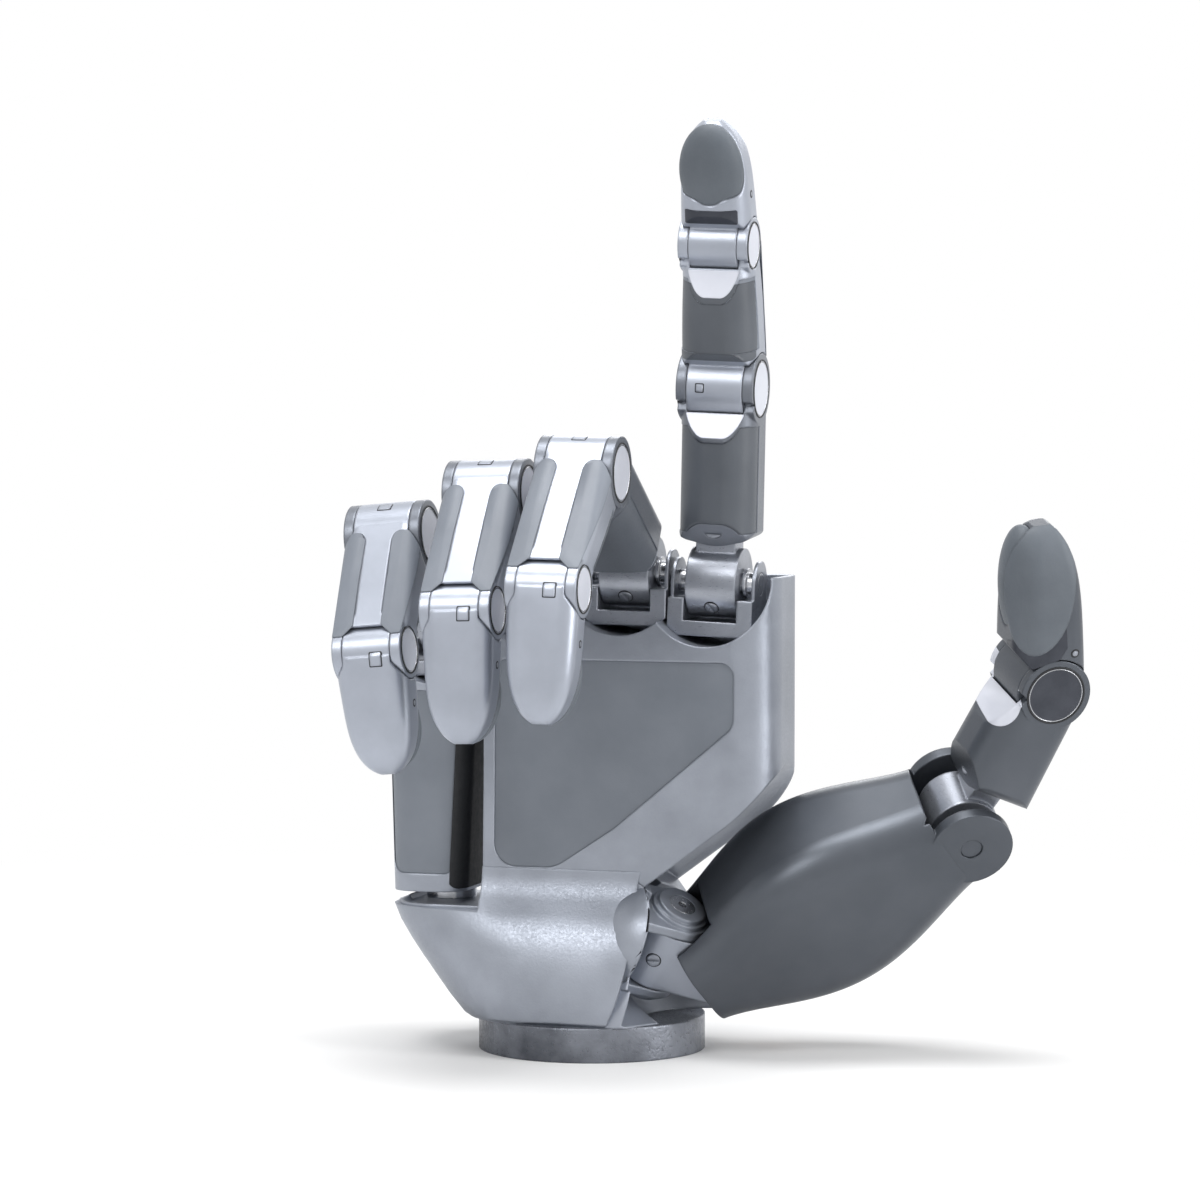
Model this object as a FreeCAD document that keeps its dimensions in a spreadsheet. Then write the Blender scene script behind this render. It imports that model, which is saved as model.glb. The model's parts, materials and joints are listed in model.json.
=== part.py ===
import FreeCAD, Part
import math
import os
import re
import Sketcher
from FreeCAD import Placement, Rotation, Vector

# Right robot hand, seen from the palm along +Y with the thumb at +X.
# Origin: middle of the wrist flange's bottom face. +Z runs up the hand, the palm faces -Y.
# The model stands in the pose of the photograph, which is the zero of every joint.

os.makedirs("parts", exist_ok=True)
doc = FreeCAD.newDocument("robot_hand")
sheet = doc.addObject("Spreadsheet::Sheet", "Sizes")

# Driving sizes in millimetres and degrees.
SIZES = {
    # wrist flange
    "flange_radius": 25.0,
    "flange_height": 7.5,
    "centring_radius": 12.5,
    "centring_depth": 5.0,
    "bolt_circle_radius": 20.0,
    "bolt_radius": 3.0,
    "bolt_count": 4,
    # palm shell
    "palm_width": 89.0,
    "palm_depth": 28.0,
    "palm_top": 104.5,
    "palm_corner": 9.0,
    "cup_width": 54.0,
    "cup_depth": 46.0,
    "cup_corner": 21.0,
    "cup_top": 31.0,
    "back_recess": 1.5,
    "cover_x": 9.0,
    "cover_width": 50.0,
    "cover_bottom": 50.0,
    "cover_top": 96.0,
    "cover_corner": 8.0,
    "cover_screw_radius": 1.6,
    "skin_depth": 0.8,
    "pad_recess": 0.25,
    "seat_gap": 0.05,
    # metacarpal of the little finger
    "fold_wall": -20.5,
    "fold_inner": -24.0,
    "fold_bottom": 34.5,
    "fold_top": 84.0,
    "fold_corner": 6.0,
    "fold_x": -33.0,
    "fold_y": 1.0,
    "spindle_radius": 3.0,
    "spindle_sink": 8.0,
    # knuckle module, the same for four fingers and the second thumb joint
    "knuckle_width": 11.2,
    "knuckle_radius": 7.6,
    "shaft_radius": 2.4,
    "swing_height": 12.5,
    "hub_radius": 4.4,
    "hub_half": 3.4,
    "trunnion_radius": 2.2,
    "trunnion_half": 5.6,
    "ear_inner": 8.65,
    "ear_thickness": 0.8,
    "ear_radius": 5.0,
    "slot_bottom": 8.4,
    "bracket_bottom": 11.6,
    "bracket_top": 3.5,
    "bracket_front": 6.8,
    "bracket_back": 9.0,
    "scallop_radius": 13.6,
    "knuckle_y": -2.0,
    # finger segments
    "finger_width": 17.0,
    "finger_front": 8.0,
    "finger_back": 7.8,
    "finger_foot": 8.0,
    "foot_rise": 2.2,
    "foot_round": 4.0,
    "tip_width": 15.2,
    "tip_front": 6.3,
    "tip_back": 6.3,
    "front_corner": 6.6,
    "back_corner": 3.6,
    "panel_depth": 0.6,
    "panel_recess": 0.15,
    "panel_rim": 1.2,
    "panel_round": 1.8,
    "panel_gap": 0.4,
    "spine_width": 5.8,
    "panel_low": 4.2,
    "panel_high": 4.0,
    # hinge between the first and second segment
    "pip_ear": 7.6,
    "pip_barrel": 7.6,
    "pip_cap": 6.1,
    # hinge between the second and third segment
    "dip_ear": 6.0,
    "dip_barrel": 6.0,
    "dip_cap": 4.9,
    "cheek": 2.2,
    "cap_thickness": 0.9,
    "axle_radius": 1.8,
    "turn_gap": 0.35,
    "side_gap": 0.15,
    "bore_gap": 0.05,
    "fit_gap": 0.02,
    # thumb
    "thumb_width": 18.6,
    "thumb_front": 9.2,
    "thumb_back": 9.0,
    "thumb_tip_width": 17.4,
    "thumb_tip_front": 7.8,
    "thumb_tip_back": 7.4,
    "ip_ear": 7.8,
    "ip_barrel": 7.8,
    "ip_cap": 6.3,
    "root_x": 18.0,
    "root_y": -8.0,
    "root_z": 24.3,
    "root_reach": 12.0,
    "root_length": 63.4,
    "root_width": 30.0,
    "root_bulge": 37.0,
    "socket_radius": 14.5,
    "socket_half": 11.5,
    "boss_radius": 7.3,
    "pocket_radius": 19.5,
    "lane_radius": 24.0,
    "lane_turn": 7.5,
    "root_block_radius": 7.2,
    "root_block_half": 7.0,
    "root_shaft_radius": 3.0,
    "root_pin_radius": 2.2,
    "root_pin_half": 10.5,
    "bone_root_room": 15.5,
    "bone_end_width": 24.6,
    "bone_ear_radius": 9.0,
    "bone_room_radius": 11.6,
    "ribbon_width": 5.0,
    "ribbon_thickness": 0.6,
    "joint_room": 9.65,
    "thumb_proximal": 35.7,
    "thumb_distal": 36.0,
}
FINGERS = {
    # name: knuckle x, knuckle z, lean to the thumb, segment lengths, bends in the photograph
    "index": (29.5, 103.2, 2.5, 42.5, 31.5, 27.5, 5.0, 10.0, 5.0),
    "middle": (10.0, 105.4, 1.0, 44.5, 32.5, 28.0, 60.0, 76.0, 38.0),
    "ring": (-9.5, 102.6, -2.0, 42.5, 31.5, 27.5, 62.0, 76.0, 38.0),
    "little": (-32.0, 94.0, -5.0, 38.5, 29.0, 26.0, 60.0, 84.0, 42.0),
}
FIELDS = ("x", "z", "lean", "proximal", "middle", "distal", "bend_root", "bend_middle", "bend_tip")
for finger, row in FINGERS.items():
    for field, number in zip(FIELDS, row):
        SIZES[finger + "_" + field] = number
SIZES["thumb_bend_root"] = 56.0
SIZES["thumb_bend_middle"] = 29.0
SIZES["thumb_swing_middle"] = -14.0
SIZES["thumb_bend_tip"] = 30.0

for row_number, (alias, number) in enumerate(SIZES.items(), start=1):
    sheet.set("A%d" % row_number, str(number))
    sheet.setAlias("A%d" % row_number, alias)
doc.recompute()


X, Y, Z = Vector(1, 0, 0), Vector(0, 1, 0), Vector(0, 0, 1)


def value(alias):
    return float(sheet.get(alias))


def bound(text):
    """The text with every alias of the sheet written as a reference to its cell."""
    def refer(match):
        word = match.group(0)
        return "Sizes." + word if word in SIZES else word
    return re.sub(r"[a-z][a-z_0-9]*", refer, str(text))


def bind(item, field, text):
    item.setExpression(field, bound(text))


def number_of(text):
    result = sheet.evalExpression(bound(text))
    return float(getattr(result, "Value", result))


def placed(item, x, y, z):
    for axis, text in zip("xyz", (x, y, z)):
        bind(item, "Placement.Base." + axis, text)
    return item


def box(name, x, y, z, width, depth, height):
    """A box whose lowest corner is at x, y, z."""
    item = doc.addObject("Part::Box", name)
    bind(item, "Length", width)
    bind(item, "Width", depth)
    bind(item, "Height", height)
    return placed(item, x, y, z)


TURNS = {
    "X": Rotation(Vector(0, 1, 0), 90),
    "Y": Rotation(Vector(1, 0, 0), -90),
    "Z": Rotation(),
}


def cylinder(name, axis, radius, length, x="0", y="0", z="0"):
    """A cylinder from x, y, z along +axis."""
    item = doc.addObject("Part::Cylinder", name)
    bind(item, "Radius", radius)
    bind(item, "Height", length)
    item.Placement = Placement(Vector(), TURNS[axis])
    return placed(item, x, y, z)


def ellipsoid(name, half_x, half_y, half_z, x="0", y="0", z="0"):
    """Radius1 is the half height, Radius2 the half width and Radius3 the half depth."""
    item = doc.addObject("Part::Ellipsoid", name)
    bind(item, "Radius1", half_z)
    bind(item, "Radius2", half_x)
    bind(item, "Radius3", half_y)
    return placed(item, x, y, z)


def joined(name, pieces):
    item = doc.addObject("Part::MultiFuse", name)
    item.Shapes = pieces
    item.Refine = True
    return item


def shared(name, pieces):
    item = doc.addObject("Part::MultiCommon", name)
    item.Shapes = pieces
    return item


def cut(name, base, tools):
    tool = tools[0] if len(tools) == 1 else joined(name + "_tools", tools)
    item = doc.addObject("Part::Cut", name)
    item.Base = base
    item.Tool = tool
    return item


def section(name, z, width, front, back, front_corner, back_corner, x="0", y="0"):
    """A rounded section square to Z: front lies at -Y, and its corners have their own radius."""
    half, fore, aft = number_of("(%s)/2" % width), number_of(front), number_of(back)
    r_fore, r_aft = number_of(front_corner), number_of(back_corner)
    sketch = doc.addObject("Sketcher::SketchObject", name)
    up = Vector(0, 0, 1)

    def line(x0, y0, x1, y1):
        sketch.addGeometry(Part.LineSegment(Vector(x0, y0, 0), Vector(x1, y1, 0)))

    def corner(cx, cy, radius, start):
        circle = Part.Circle(Vector(cx, cy, 0), up, radius)
        from_angle = start * math.pi / 2
        sketch.addGeometry(Part.ArcOfCircle(circle, from_angle, from_angle + math.pi / 2))

    line(-half + r_fore, -fore, half - r_fore, -fore)
    corner(half - r_fore, -fore + r_fore, r_fore, -1)
    line(half, -fore + r_fore, half, aft - r_aft)
    corner(half - r_aft, aft - r_aft, r_aft, 0)
    line(half - r_aft, aft, -half + r_aft, aft)
    corner(-half + r_aft, aft - r_aft, r_aft, 1)
    line(-half, aft - r_aft, -half, -fore + r_fore)
    corner(-half + r_fore, -fore + r_fore, r_fore, 2)
    for edge in range(8):
        sketch.addConstraint(Sketcher.Constraint("Tangent", edge, 2, (edge + 1) % 8, 1))
    for edge, kind in ((0, "Horizontal"), (2, "Vertical"), (4, "Horizontal"), (6, "Vertical")):
        sketch.addConstraint(Sketcher.Constraint(kind, edge))
    driven = (
        ("right", ("DistanceX", -1, 1, 2, 1, half), "(%s)/2" % width),
        ("left", ("DistanceX", 6, 1, -1, 1, half), "(%s)/2" % width),
        ("front", ("DistanceY", 0, 1, -1, 1, fore), front),
        ("back", ("DistanceY", -1, 1, 4, 1, aft), back),
        ("front_right", ("Radius", 1, r_fore), front_corner),
        ("front_left", ("Radius", 7, r_fore), front_corner),
        ("back_right", ("Radius", 3, r_aft), back_corner),
        ("back_left", ("Radius", 5, r_aft), back_corner),
    )
    for label, terms, text in driven:
        index = sketch.addConstraint(Sketcher.Constraint(*terms))
        sketch.renameConstraint(index, label)
        bind(sketch, "Constraints." + label, text)
    return placed(sketch, x, y, z)


def loft(name, sections, straight=False):
    item = doc.addObject("Part::Loft", name)
    item.Sections = sections
    item.Solid = True
    item.Ruled = straight
    return item


def tilted_box(name, y, z, angle, half_width, sink="0"):
    """A large box with one edge along X at y, z, its near face tilted by angle from upright.

    The near face is pushed towards the finger by sink."""
    item = doc.addObject("Part::Box", name)
    bind(item, "Length", "2*(%s)" % half_width)
    bind(item, "Width", "12")
    bind(item, "Height", "16")
    item.Placement = Placement(Vector(), Rotation(Vector(1, 0, 0), angle))
    return placed(item, "-(%s)" % half_width, "%s - (%s)*cos(%ddeg)" % (y, sink, angle),
                  "%s - (%s)*sin(%ddeg)" % (z, sink, angle))


# One finger hinge: the parent ends in two cheeks with a saddle between them,
# the child starts with a barrel that turns in the saddle.

def crescent(name, joint, height, width, sink="0"):
    """The slanted facet on the palm side below a hinge, which leaves a crescent."""
    barrel = joint + "_barrel"
    return tilted_box(name, "-0.70*%s" % barrel, "(%s) - 0.40*%s" % (height, barrel), 160,
                      "(%s)" % width, sink)


def hinge_end(name, blank, joint, height, width):
    """Cheeks, saddle, palm-side facet, cap seats and axle bore at the far end of a segment."""
    ear, barrel, cap = joint + "_ear", joint + "_barrel", joint + "_cap"
    inner = "((%s)/2 - cheek)" % width
    above = box(name + "_above", "-20", "-20", "(%s) - 0.4*%s" % (height, ear), "40", "40", "60")
    trimmed = cut(name + "_trimmed", blank, [above])
    cheeks = [cylinder(name + "_cheek_" + side, "X", ear, "cheek", start, "0", height)
              for side, start in (("a", inner), ("b", "-(%s)/2" % width))]
    body = joined(name + "_body", [trimmed] + cheeks)
    saddle = cylinder(name + "_saddle", "X", "%s + turn_gap" % barrel, "2*" + inner, "-" + inner,
                      "0", height)
    facet = crescent(name + "_facet", joint, height, width)
    seats = [cylinder(name + "_seat_" + side, "X", cap + " + fit_gap", "cap_thickness + 1", start,
                      "0", height)
             for side, start in (("a", "(%s)/2 - cap_thickness" % width), ("b", "-(%s)/2 - 1" % width))]
    bore = cylinder(name + "_bore", "X", "axle_radius + fit_gap", width, "-(%s)/2" % width, "0", height)
    return cut(name + "_end", body, [saddle, facet, bore] + seats)


def hinge_start(name, blank, joint, width):
    """Barrel, cheek clearances, palm-side facet and axle bore at the near end of a segment."""
    ear, barrel = joint + "_ear", joint + "_barrel"
    inner = "((%s)/2 - cheek - side_gap)" % width
    lump = cylinder(name + "_barrel", "X", barrel, "2*" + inner, "-" + inner)
    rooms = [cylinder(name + "_room_" + side, "X", ear + " + turn_gap", "cheek + side_gap + 5", start)
             for side, start in (("a", inner), ("b", "-" + inner + " - cheek - side_gap - 5"))]
    facet = tilted_box(name + "_step", "-0.62*%s" % barrel, "0.80*%s" % barrel, 128, "(%s)" % width)
    under = box(name + "_under", "-20", "-20", "-20", "40", "20 - 0.5*%s" % barrel,
                "20 + 0.79*%s" % barrel)
    bare = cut(name + "_bare", blank, rooms + [facet, under])
    body = joined(name + "_start_body", [bare, lump])
    bore = cylinder(name + "_turn", "X", "axle_radius + bore_gap", width, "-(%s)/2" % width)
    return cut(name + "_start", body, [bore])


def axle(name, joint, width):
    """A through axle with a flat cap seated in each cheek."""
    rod = cylinder(name + "_rod", "X", "axle_radius", "(%s) - 0.2" % width, "-(%s)/2 + 0.1" % width)
    caps = [cylinder(name + "_cap_" + side, "X", joint + "_cap", "cap_thickness", start)
            for side, start in (("a", "(%s)/2 - cap_thickness" % width), ("b", "-(%s)/2" % width))]
    return joined(name, [rod] + caps)


def knuckle(name):
    """Block on the cross shaft, with a hub and two trunnions that carry the first segment."""
    block = cylinder(name + "_block", "X", "knuckle_radius", "knuckle_width", "-knuckle_width/2")
    neck = box(name + "_neck", "-hub_radius", "-hub_half", "0", "2*hub_radius", "2*hub_half",
               "swing_height")
    hub = cylinder(name + "_hub", "Y", "hub_radius", "2*hub_half", "0", "-hub_half", "swing_height")
    stubs = cylinder(name + "_stubs", "Y", "trunnion_radius", "2*trunnion_half", "0",
                     "-trunnion_half", "swing_height")
    body = joined(name + "_body", [block, neck, hub, stubs])
    bore = cylinder(name + "_bore", "X", "shaft_radius + bore_gap", "knuckle_width + 2",
                    "-knuckle_width/2 - 1")
    return cut(name, body, [bore])


def set_in(item, frame):
    item.Placement = frame
    return item


def rounded_outline(name, corners, start=-30.0):
    """A sketch square to Y, at y = start, of straight edges and tangent arcs.

    The corners are x, z and radius."""
    sketch = doc.addObject("Sketcher::SketchObject", name)
    points = [Vector(x, z, 0) for x, z, radius in corners]
    starts, ends = [], []
    for index, (x, z, radius) in enumerate(corners):
        point = points[index]
        before = (points[index - 1] - point).normalize()
        after = (points[(index + 1) % len(points)] - point).normalize()
        half_turn = before.getAngle(after) / 2
        bisector = (before + after).normalize()
        hub = point + bisector * (radius / math.sin(half_turn))
        reach = radius / math.tan(half_turn)
        starts.append(point + before * reach)
        ends.append(point + after * reach)
        arc = Part.Arc(starts[-1], hub - bisector * radius, ends[-1])
        sketch.addGeometry(arc)
    for index in range(len(points)):
        sketch.addGeometry(Part.LineSegment(ends[index], starts[(index + 1) % len(points)]))
    sketch.Placement = Placement(Vector(0, start, 0), Rotation(X, 90))
    return sketch


def prism(name, sketch, length):
    """The outline pushed along +Y."""
    item = doc.addObject("Part::Extrusion", name)
    item.Base = sketch
    item.DirMode = "Custom"
    item.Dir = Y
    bind(item, "LengthFwd", length)
    item.Solid = True
    return item


def foot_form(name, width):
    """Outline whose underside rises to both sides, so that a first segment can lean."""
    half, low = number_of("(%s)/2 + 0.5" % width), value("finger_foot")
    side, top, round_radius = low + value("foot_rise"), low + 60, value("foot_round")
    outline = rounded_outline(name + "_outline", (
        (-half, side, round_radius), (0, low, 3 * round_radius), (half, side, round_radius),
        (half, top, 1), (-half, top, 1)))
    return prism(name, outline, "60")


def swing_pocket(name, foot):
    """Room in the foot of the first segment for the knuckle's hub, and the trunnion bores."""
    room = box(name + "_room", "-hub_radius - 2.4", "-hub_half - side_gap", "(%s) - 1" % foot,
               "2*hub_radius + 4.8", "2*hub_half + 2*side_gap",
               "swing_height + hub_radius + 0.6 - (%s) + 1" % foot)
    bores = cylinder(name + "_bores", "Y", "trunnion_radius + bore_gap",
                     "2*trunnion_half + 2*side_gap", "0", "-trunnion_half - side_gap", "swing_height")
    return [room, bores]


def foot_bevel(name, foot):
    """The bevel on the palm side of the foot, clear of the palm when the finger is bent."""
    return tilted_box(name + "_bevel", "-0.45*finger_front", foot, 125, "20")


def skin_slices(name, blank, inner, boxes):
    """The outer skin of a blank inside each of the boxes."""
    skin = cut(name + "_skin", blank, [inner])
    return [shared(name + "_slice_%d" % index, [skin, window]) for index, window in enumerate(boxes)]


def segment_forms(name, stations):
    """A segment's outer form, the face of its panels and the seat under them.

    Each station has height, width, front and back."""
    forms = []
    for label, depth in (("outer", "0"), ("face", "panel_recess"), ("seat", "panel_depth")):
        rows = [section("%s_%s_%d" % (name, label, index), z, "(%s) - 2*%s" % (width, depth),
                        "(%s) - %s" % (front, depth), "(%s) - %s" % (back, depth),
                        "front_corner - " + depth, "back_corner - " + depth)
                for index, (z, width, front, back) in enumerate(stations)]
        forms.append(loft("%s_%s_form" % (name, label), rows))
    return forms


def front_window(name, joint, height, width, low):
    """The palm side of a segment between its rim and the hinge at height."""
    top = "(%s) - %s_ear - panel_gap" % (height, joint)
    space = box(name + "_space", "-(%s)" % width, "-30", low, "2*(%s)" % width,
                "30 - 0.1*finger_front", "%s - (%s)" % (top, low))
    return cut(name, space, [crescent(name + "_crescent", joint, height, width, "panel_gap")])


def back_window(name, side, length):
    """Rounded window on the back, between the bright spine and the corner."""
    near, far = number_of("spine_width/2"), number_of("tip_width/2 - panel_gap")
    low, high = value("panel_low"), number_of("%s - panel_high" % length)
    corners = [(near, low), (far, low), (far, high), (near, high)]
    radius = value("panel_round")
    outline = rounded_outline(name + "_outline", [(side * x, z, radius) for x, z in corners], 0.5)
    return prism(name, outline, "30")


def fingertip(name, length, width, front, back):
    """Last segment: a bullet that narrows in steps of one ellipse, with a seat for its pad."""
    stations = (("0", 1.0), ("0.38*(%s)" % length, 0.99), ("0.62*(%s)" % length, 0.93),
                ("0.80*(%s)" % length, 0.79), ("0.92*(%s)" % length, 0.57), ("(%s)" % length, 0.24))
    outlines = []
    for index, (z, share) in enumerate(stations):
        outlines.append(section("%s_outline_%d" % (name, index), z, "(%s)*%s" % (width, share),
                                "(%s)*%s" % (front, share), "(%s)*%s" % (back, share),
                                "front_corner*%s*0.85" % share, "back_corner*%s" % share))
    return loft(name + "_blank", outlines)


def pad_form(name, length, width, front, grow="0"):
    """The soft pad: an ellipsoid sunk in the palm side that reaches the tip."""
    form = ellipsoid(name + "_form", "0.46*(%s) + %s" % (width, grow),
                     "0.62*(%s) + %s" % (front, grow), "0.375*(%s) + %s" % (length, grow), "0",
                     "-0.50*(%s)" % front, "0.625*(%s)" % length)
    behind = box(name + "_behind", "-20", "%s" % grow, "-20", "40", "20", "80")
    return cut(name, form, [behind])


frames = {}
pieces = []


def keep(item, label, frame):
    """Names a finished piece and sets it in its frame."""
    item.Label = label
    item.Placement = frame
    pieces.append(item)


def turned(axis, angle):
    return Placement(Vector(), Rotation(axis, angle))


def moved(x, y, z):
    return Placement(Vector(x, y, z), Rotation())


# Frames of the four fingers.
for finger in FINGERS:
    base = Placement(Vector(value(finger + "_x"), value("knuckle_y"), value(finger + "_z")),
                     Rotation(Y, value(finger + "_lean")))
    first = base.multiply(turned(X, value(finger + "_bend_root")))
    second = first.multiply(moved(0, 0, value(finger + "_proximal"))).multiply(
        turned(X, value(finger + "_bend_middle")))
    third = second.multiply(moved(0, 0, value(finger + "_middle"))).multiply(
        turned(X, value(finger + "_bend_tip")))
    frames[finger + "_base"] = base
    frames[finger + "_first"] = first
    frames[finger + "_second"] = second
    frames[finger + "_third"] = third

# Frames of the thumb. Its root shaft and root pin are square to each other.
ROOT_SHAFT = Vector(0.5228, -0.2896, 0.8014)
ROOT_PIN = Vector(0.3953, -0.7501, -0.5294)
root_shaft = Vector(ROOT_SHAFT).normalize()
root_pin = (ROOT_PIN - root_shaft * ROOT_PIN.dot(root_shaft)).normalize()
root_out = root_shaft.cross(root_pin)
root = Placement(Vector(value("root_x"), value("root_y"), value("root_z")),
                 Rotation(root_out, root_pin * -1, root_shaft, "ZXY"))
frames["thumb_root"] = root
# In the metacarpal's frame X is the pin and Z runs along the bone.
hub_place = root.Base + root_out * value("root_reach")
straight_bone = Placement(hub_place, Rotation(root_pin, root_shaft * -1, root_out, "ZXY"))
bone = straight_bone.multiply(turned(X, value("thumb_bend_root")))
frames["thumb_bone"] = bone
thumb_base = bone.multiply(moved(0, 0, value("root_length")))
thumb_first = thumb_base.multiply(turned(X, value("thumb_bend_middle")))
swing = value("swing_height")
thumb_second = thumb_first.multiply(moved(0, 0, swing)).multiply(
    turned(Y, value("thumb_swing_middle"))).multiply(moved(0, 0, -swing))
thumb_third = thumb_second.multiply(moved(0, 0, value("thumb_proximal"))).multiply(
    turned(X, value("thumb_bend_tip")))
frames["thumb_base"] = thumb_base
frames["thumb_first"] = thumb_first
frames["thumb_second"] = thumb_second
frames["thumb_third"] = thumb_third


def build_finger(finger):
    first, second, third = [frames[finger + "_" + step] for step in ("first", "second", "third")]
    length = finger + "_proximal"
    keep(knuckle(finger + "_knuckle_solid"), finger + "_knuckle", first)

    name = finger + "_proximal_solid"
    stations = (("finger_foot", "finger_width", "finger_front", "finger_back"),
                (length, "finger_width", "finger_front", "finger_back"))
    blank, face, core = segment_forms(name, stations)
    window = front_window(name + "_window", "pip", length, "finger_width",
                          "finger_foot + foot_rise + panel_rim")
    panels = skin_slices(name, blank, core, [window])
    foot = foot_form(name + "_foot", "finger_width")
    bevel = foot_bevel(name, "finger_foot")
    recessed = shared(name + "_recessed", [cut(name + "_seated", blank, panels), foot])
    bare = cut(name + "_shell", recessed, swing_pocket(name, "finger_foot") + [bevel])
    keep(hinge_end(name, bare, "pip", length, "finger_width"), finger + "_proximal_shell", first)
    keep(cut(name + "_panel", shared(name + "_panel_face", panels + [face, foot]), [bevel]),
         finger + "_proximal_panel", first)

    axle_frame = first.multiply(moved(0, 0, value(length)))
    keep(axle(finger + "_pip_axle_solid", "pip", "finger_width"), finger + "_middle_axle", axle_frame)

    length = finger + "_middle"
    name = finger + "_middle_solid"
    stations = (("0", "finger_width", "pip_barrel - 0.15", "pip_barrel - 0.15"),
                ("0.35*" + length, "finger_width", "finger_front - 0.6", "finger_back - 0.4"),
                (length, "tip_width", "tip_front", "tip_back"))
    blank, face, core = segment_forms(name, stations)
    windows = [back_window(name + "_window_a", 1, length), back_window(name + "_window_b", -1, length),
               front_window(name + "_window_c", "dip", length, "finger_width",
                            "pip_ear + turn_gap + panel_rim")]
    panels = skin_slices(name, blank, core, windows)
    bare = cut(name + "_shell", blank, panels)
    started = hinge_start(name, bare, "pip", "finger_width")
    keep(hinge_end(name, started, "dip", length, "tip_width"), finger + "_middle_shell", second)
    keep(shared(name + "_panels", [joined(name + "_slices", panels), face]),
         finger + "_middle_panels", second)

    axle_frame = second.multiply(moved(0, 0, value(length)))
    keep(axle(finger + "_dip_axle_solid", "dip", "tip_width"), finger + "_tip_axle", axle_frame)

    length = finger + "_distal"
    name = finger + "_tip_solid"
    blank = fingertip(name, length, "tip_width", "tip_front", "tip_back")
    started = hinge_start(name, blank, "dip", "tip_width")
    seat = pad_form(name + "_seat", length, "tip_width", "tip_front", "seat_gap")
    keep(cut(name, started, [seat]), finger + "_tip_shell", third)
    keep(pad_form(finger + "_pad_solid", length, "tip_width", "tip_front"), finger + "_pad", third)


def build_flange():
    """Round wrist flange: centring bore and four threaded holes in its bottom face."""
    disc = cylinder("flange_disc", "Z", "flange_radius", "flange_height")
    bore = cylinder("flange_bore", "Z", "centring_radius", "centring_depth + 1", "0", "0", "-1")
    holes = []
    for index in range(int(value("bolt_count"))):
        turn = "(%d + 0.5)*360deg/bolt_count" % index
        holes.append(cylinder("flange_hole_%d" % index, "Z", "bolt_radius", "flange_height + 2",
                              "bolt_circle_radius*cos(%s)" % turn,
                              "bolt_circle_radius*sin(%s)" % turn, "-1"))
    keep(cut("flange_solid", disc, [bore] + holes), "wrist_flange", Placement())


def bracket(name):
    """A plate with a slot for the knuckle and two thin ears that hold the shaft."""
    disc = cylinder(name + "_disc", "Y", "scallop_radius - seat_gap", "bracket_front + bracket_back",
                    "0", "-bracket_front")
    plate = box(name + "_plate", "-ear_inner - ear_thickness", "-bracket_front",
                "-bracket_bottom", "2*ear_inner + 2*ear_thickness", "bracket_front + bracket_back",
                "bracket_bottom - bracket_top")
    ears = []
    for side, start in (("a", "ear_inner"), ("b", "-ear_inner - ear_thickness")):
        ears.append(cylinder(name + "_ear_" + side, "X", "ear_radius", "ear_thickness", start))
        ears.append(box(name + "_foot_" + side, start, "-ear_radius", "-bracket_top - 0.5",
                        "ear_thickness", "2*ear_radius", "bracket_top + 0.5"))
    base = shared(name + "_base", [disc, plate])
    slot = box(name + "_slot", "-knuckle_width/2 - turn_gap", "-20", "-slot_bottom",
               "knuckle_width + 2*turn_gap", "40", "20")
    eyes = cylinder(name + "_eyes", "X", "shaft_radius + fit_gap", "40", "-20")
    return cut(name, joined(name + "_body", [base] + ears), [slot, eyes])


def shaft(name, half):
    """Cross shaft with a collar on each side of the knuckle."""
    rod = cylinder(name + "_rod", "X", "shaft_radius", "2*(%s)" % half, "-(%s)" % half)
    collars = [cylinder(name + "_collar_" + side, "X", "shaft_radius + 0.9", "0.8", start)
               for side, start in (("a", "knuckle_width/2 + 0.4"), ("b", "-knuckle_width/2 - 1.2"))]
    return joined(name, [rod] + collars)


def sunk_form(name, rows, depth):
    """The loft of the rows, sunk by depth on all sides."""
    return loft(name + "_form", [
        section("%s_%s" % (name, label), z, "%s - 2*%s" % (width, depth), "%s - %s" % (front, depth),
                "%s - %s" % (back, depth), "%s - %s" % (corner, depth), "%s - %s" % (corner, depth), x)
        for label, z, width, front, back, corner, x in rows], True)


def cover_form(name):
    """Rounded plate, its outer face at local z = 0 and its thickness along +Z."""
    middle = "(cover_bottom + cover_top)/2"
    half = "(cover_top - cover_bottom)/2"
    plates = [section(name + "_face_%d" % index, z, "cover_width", half, half, "cover_corner",
                      "cover_corner", "cover_x", middle)
              for index, z in enumerate(("0", "back_recess"))]
    return loft(name, plates, True)


SCREW_ROWS = ("cover_bottom + 6", "(cover_bottom + cover_top)/2", "cover_top - 6")


def cover_screws(name, radius, head, length, start="0"):
    """Six screws, or the holes for them, sunk from the cover's outer face."""
    items = []
    for row, height in enumerate(SCREW_ROWS):
        for side in (-1, 1):
            x = "cover_x + %d*(cover_width/2 - 6)" % side
            items.append(cylinder("%s_%d_%d" % (name, row, side + 1), "Z", radius, length, x, height,
                                  start))
            items.append(cylinder("%s_head_%d_%d" % (name, row, side + 1), "Z", head, "0.9", x,
                                  height, start))
    return joined(name, items)


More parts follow.
